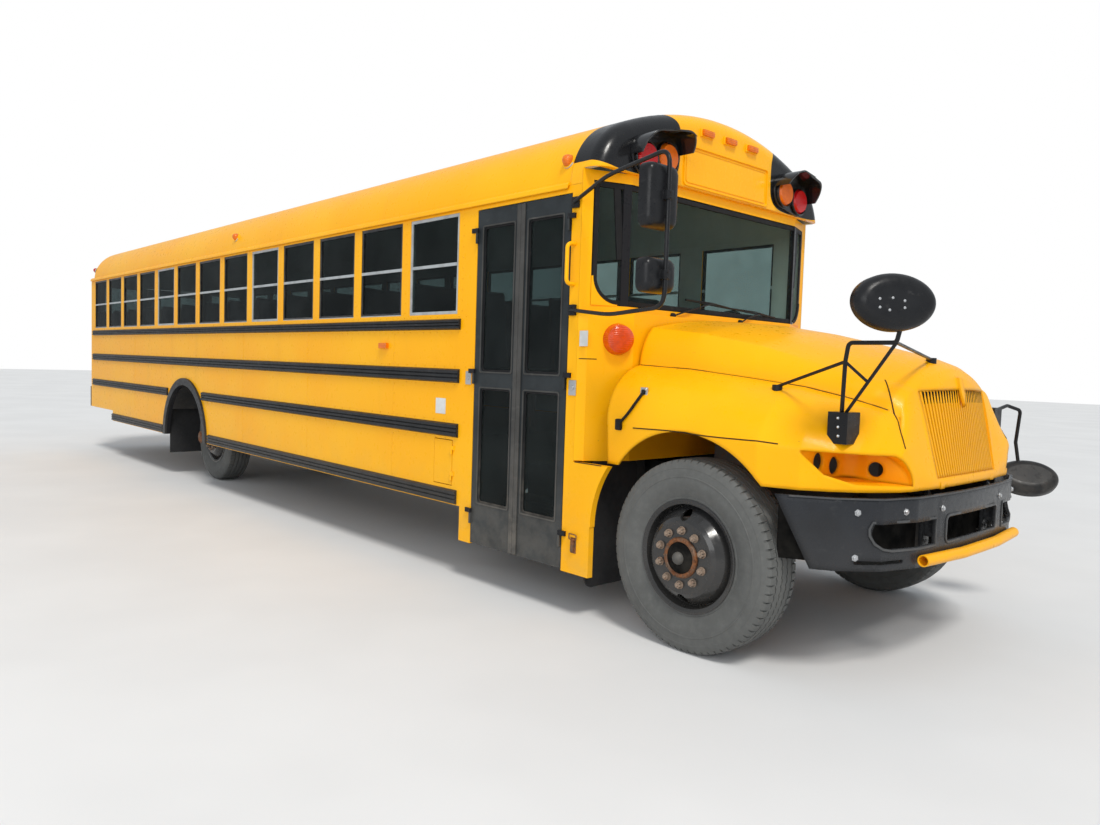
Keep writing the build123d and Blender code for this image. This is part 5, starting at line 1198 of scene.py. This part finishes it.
# Three small lamps in the middle over the windscreen
ID_LAMP_Z = 3.006
for y in (-0.248, 0.0, 0.248):
    seats.block((CAP_FRONT_X + 0.003, y, ID_LAMP_Z), (0.007, 0.066, 0.026), 0.006)
    amber.block((CAP_FRONT_X + 0.017, y, ID_LAMP_Z), (0.013, 0.0565, 0.0195), 0.011)
roof_amber.piece("roof_markers", "amber_lens", "amber_lens", 40)
roof_red.piece("roof_markers_rear", "red_lens", "red_lens", 40)
seats.piece("lamp_seats", "yellow", "yellow_paint", 40)
amber.piece("amber_domes", "amber_lens", "amber_lens", 35)
TURN_LENS = ((0.002, 0.0935), (0.03, 0.0885), (0.052, 0.0815), (0.062, 0.068), (0.069, 0.045),
             (0.072, 0.02), (0.0725, 0.0005), (0.052, 0.0005), (0.002, 0.0915))
turn_lenses, rear_flaps = Shape(), Shape()
for side in SIDES:
    turn_lenses.ring(ahead(-0.663, side * 1.02, 1.66), (0.9013, side * 0.4333, 0), TURN_LENS, 48)
    rear_flaps.block((REAR_X - 0.667, side * 0.9025, 0.6375), (0.005, 0.2625, 0.3675), 0.004)
turn_lenses.piece("turn_lenses", "turn_lens", "amber_lens", 35)
rear_flaps.piece("rear_mudflaps", "flap", "flap_rubber")

# Rusty catch low on the skirt ahead of the door: plate, bail, hook and two rivets
catch = Shape()
PLATE = ahead(-0.773, -HALF_WIDTH - 0.0003, 0.457)
BAIL = ((-0.03, -0.01, 0.05), (-0.03, -0.012, 0.02), (0.03, -0.012, 0.02), (0.03, -0.01, 0.05),
        (-0.03, -0.01, 0.052))
catch.block(PLATE + Vector((0, -0.002, -0.016)), (0.022, 0.002, 0.046), 0.0015)
catch.pipe(bent([PLATE + Vector(p) for p in BAIL], 0.012), 0.0035, 8)
catch.block(PLATE + Vector((0, -0.0105, -0.014)), (0.012, 0.0075, 0.038), 0.004)
catch.dome(PLATE + Vector((0, -0.018, -0.03)), RIGHTWARD, 0.008, 0.006, 8, 1)
catch.dome(PLATE + Vector((0, -0.003, -0.055)), RIGHTWARD, 0.006, 0.004, 8, 1)
catch.piece("skirt_catch", "rust", "chassis_paint", 35)


# ---------------------------------------------------------------- seats: padded pieces
CLOTH_FRAMES = 16


def padded_mesh(name, low, high, voxel, cap):
    """Blown-up cushion: a box remeshed, then swollen by cloth pressure, each point's travel capped."""
    shape = Shape()
    shape.box(low, high, 0.03)
    data = bpy.data.meshes.new(name)
    data.from_pydata([tuple(v) for v in shape.verts], [], shape.faces)
    pad = bpy.data.objects.new(name, data)
    scene.collection.objects.link(pad)
    bpy.context.view_layer.objects.active = pad
    for other in bpy.context.selected_objects:
        other.select_set(False)
    pad.select_set(True)
    remesh = pad.modifiers.new("remesh", "REMESH")
    remesh.mode = "VOXEL"
    remesh.voxel_size = voxel
    bpy.ops.object.modifier_apply(modifier=remesh.name)
    points = np.array([v.co for v in pad.data.vertices])
    faces = [tuple(p.vertices) for p in pad.data.polygons]
    cloth = pad.modifiers.new("cloth", "CLOTH")
    cloth.settings.use_pressure = True
    cloth.settings.uniform_pressure_force = 4.0
    cloth.settings.effector_weights.gravity = 0
    cloth.settings.quality = 4
    cloth.point_cache.frame_start = 1
    cloth.point_cache.frame_end = CLOTH_FRAMES
    for step in range(1, CLOTH_FRAMES + 1):
        scene.frame_set(step)
    shaped = pad.evaluated_get(bpy.context.evaluated_depsgraph_get())
    travel = np.array([v.co for v in shaped.data.vertices]) - points
    pad.modifiers.clear()
    scene.frame_set(1)
    length = np.linalg.norm(travel, axis=1, keepdims=True)
    points = points + travel * np.minimum(1, cap / np.maximum(length, 1e-9))
    bpy.data.objects.remove(pad)
    return points, faces


def put_pad(shape, pad, place, tilt=0.0):
    """Copy of a pad, tilted about the bus's width, at a place."""
    points, faces = pad
    turn = Matrix.Rotation(tilt, 3, "Y")
    shape.take([turn @ Vector(p) + Vector(place) for p in points], faces)


def padded_piece(shape, name, node):
    piece = shape.piece(name, "seat", "seat_vinyl", 60)
    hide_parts(node)


BENCH_ROWS = 13
BENCH_HALF = 0.466
BENCH_Y = 1.179 - 0.0003 - 0.48
CUSHION_Z = FLOOR_Z + 0.33 + 0.06
BACK_LEAN = -math.atan2(0.0852, 0.76)
cushion = padded_mesh("bench_pad", (-0.182, -BENCH_HALF, -0.052), (0.182, BENCH_HALF, 0.05), 0.028, 0.012)
back = padded_mesh("back_pad", (-0.026, -BENCH_HALF, -0.37), (0.026, BENCH_HALF, 0.37), 0.026, 0.014)
cushions, backs, legs = Shape(), Shape(), Shape()
for side in SIDES:
    for row in range(BENCH_ROWS):
        x, y = FIRST_WINDOW_X - 0.06 - WINDOW_PITCH * row, side * BENCH_Y
        put_pad(cushions, cushion, (x, y, CUSHION_Z))
        put_pad(backs, back, (x - 0.2827, y, FLOOR_Z + 0.71), BACK_LEAN)
        leg_y = y - side * 0.4
        for leg_x in (x - 0.135, x + 0.135):
            legs.box((leg_x - 0.015, leg_y - 0.015, FLOOR_Z),
                     (leg_x + 0.015, leg_y + 0.015, CUSHION_Z - 0.055), 0.003)
        legs.block((x, y, CUSHION_Z - 0.054), (0.18, 0.44, 0.006), 0.003)
padded_piece(cushions, "bench_cushion_pads", "bench_cushions")
legs.piece("bench_legs", "chassis", "chassis_paint")
padded_piece(backs, "bench_back_pads", "bench_backs")

CHAIR_Y = 0.56
chair, pedestal = Shape(), Shape()
chair_seat = padded_mesh("driver_pad", (-0.235, -0.235, -0.05), (0.235, 0.235, 0.05), 0.018, 0.014)
chair_back = padded_mesh("driver_back_pad", (-0.048, -0.225, -0.335), (0.048, 0.225, 0.335), 0.018, 0.014)
put_pad(chair, chair_seat, ahead(-1.58, CHAIR_Y, FLOOR_Z + 0.4))
put_pad(chair, chair_back, ahead(-1.86, CHAIR_Y, FLOOR_Z + 0.74), math.radians(-8))
padded_piece(chair, "driver_seat_pads", "driver_seat")
pedestal.box(ahead(-1.75, CHAIR_Y - 0.15, FLOOR_Z + 0.0003),
             ahead(-1.45, CHAIR_Y + 0.15, FLOOR_Z + 0.335), 0.02)
pedestal.piece("driver_seat_base", "chassis", "chassis_paint", 35)


# ---------------------------------------------------------------- floor, background, light
FLOOR_HALF = 60
floor_corners = [(x * FLOOR_HALF, y * FLOOR_HALF, 0) for x, y in ((-1, -1), (1, -1), (1, 1), (-1, 1))]
floor_mesh = bpy.data.meshes.new("studio_floor")
floor_mesh.from_pydata(floor_corners, [], [(0, 1, 2, 3)])
floor = bpy.data.objects.new("studio_floor", floor_mesh)
scene.collection.objects.link(floor)
m = Nodes("studio_floor")
m.finish(m.mix(m.spread(0.6, 3), (0.7, 0.7, 0.7), (0.74, 0.74, 0.74)), 0.75)
floor_mesh.materials.append(m.material)

world = bpy.data.worlds.new("studio")
scene.world = world
world.use_nodes = True
tree = world.node_tree
tree.nodes.clear()
output = tree.nodes.new("ShaderNodeOutputWorld")
choice = tree.nodes.new("ShaderNodeMixShader")
seen = tree.nodes.new("ShaderNodeMath")
seen.operation = "MAXIMUM"
path = tree.nodes.new("ShaderNodeLightPath")
# The background's light on the bus, and its look behind the bus and in glass
for number, colour, strength in ((1, (0.9, 0.95, 1.0, 1), 0.62), (2, (1, 1, 1, 1), 1.0)):
    background = tree.nodes.new("ShaderNodeBackground")
    background.inputs["Color"].default_value = colour
    background.inputs["Strength"].default_value = strength
    tree.links.new(background.outputs[0], choice.inputs[number])
tree.links.new(path.outputs["Is Camera Ray"], seen.inputs[0])
tree.links.new(path.outputs["Is Transmission Ray"], seen.inputs[1])
tree.links.new(seen.outputs[0], choice.inputs[0])
tree.links.new(choice.outputs[0], output.inputs["Surface"])


def add_light(name, kind, energy, direction, place=(0, 0, 0)):
    """Lamp shining along a direction."""
    data = bpy.data.lights.new(name, kind)
    data.energy = energy
    lamp = bpy.data.objects.new(name, data)
    scene.collection.objects.link(lamp)
    lamp.location = place
    lamp.rotation_euler = Vector(direction).to_track_quat("-Z", "Y").to_euler()
    return data


sun = add_light("sun", "SUN", 1.9, (-0.62, 0.3, -0.95))
sun.angle = math.radians(14)
sun.color = (1.0, 0.97, 0.92)
FILL_PLACE = Vector((9, -11, 5))
fill = add_light("fill", "AREA", 380, Vector((1, -1, 1.2)) - FILL_PLACE, FILL_PLACE)
fill.shape = "RECTANGLE"
fill.size, fill.size_y = 8, 5

scene.view_settings.view_transform = "Standard"
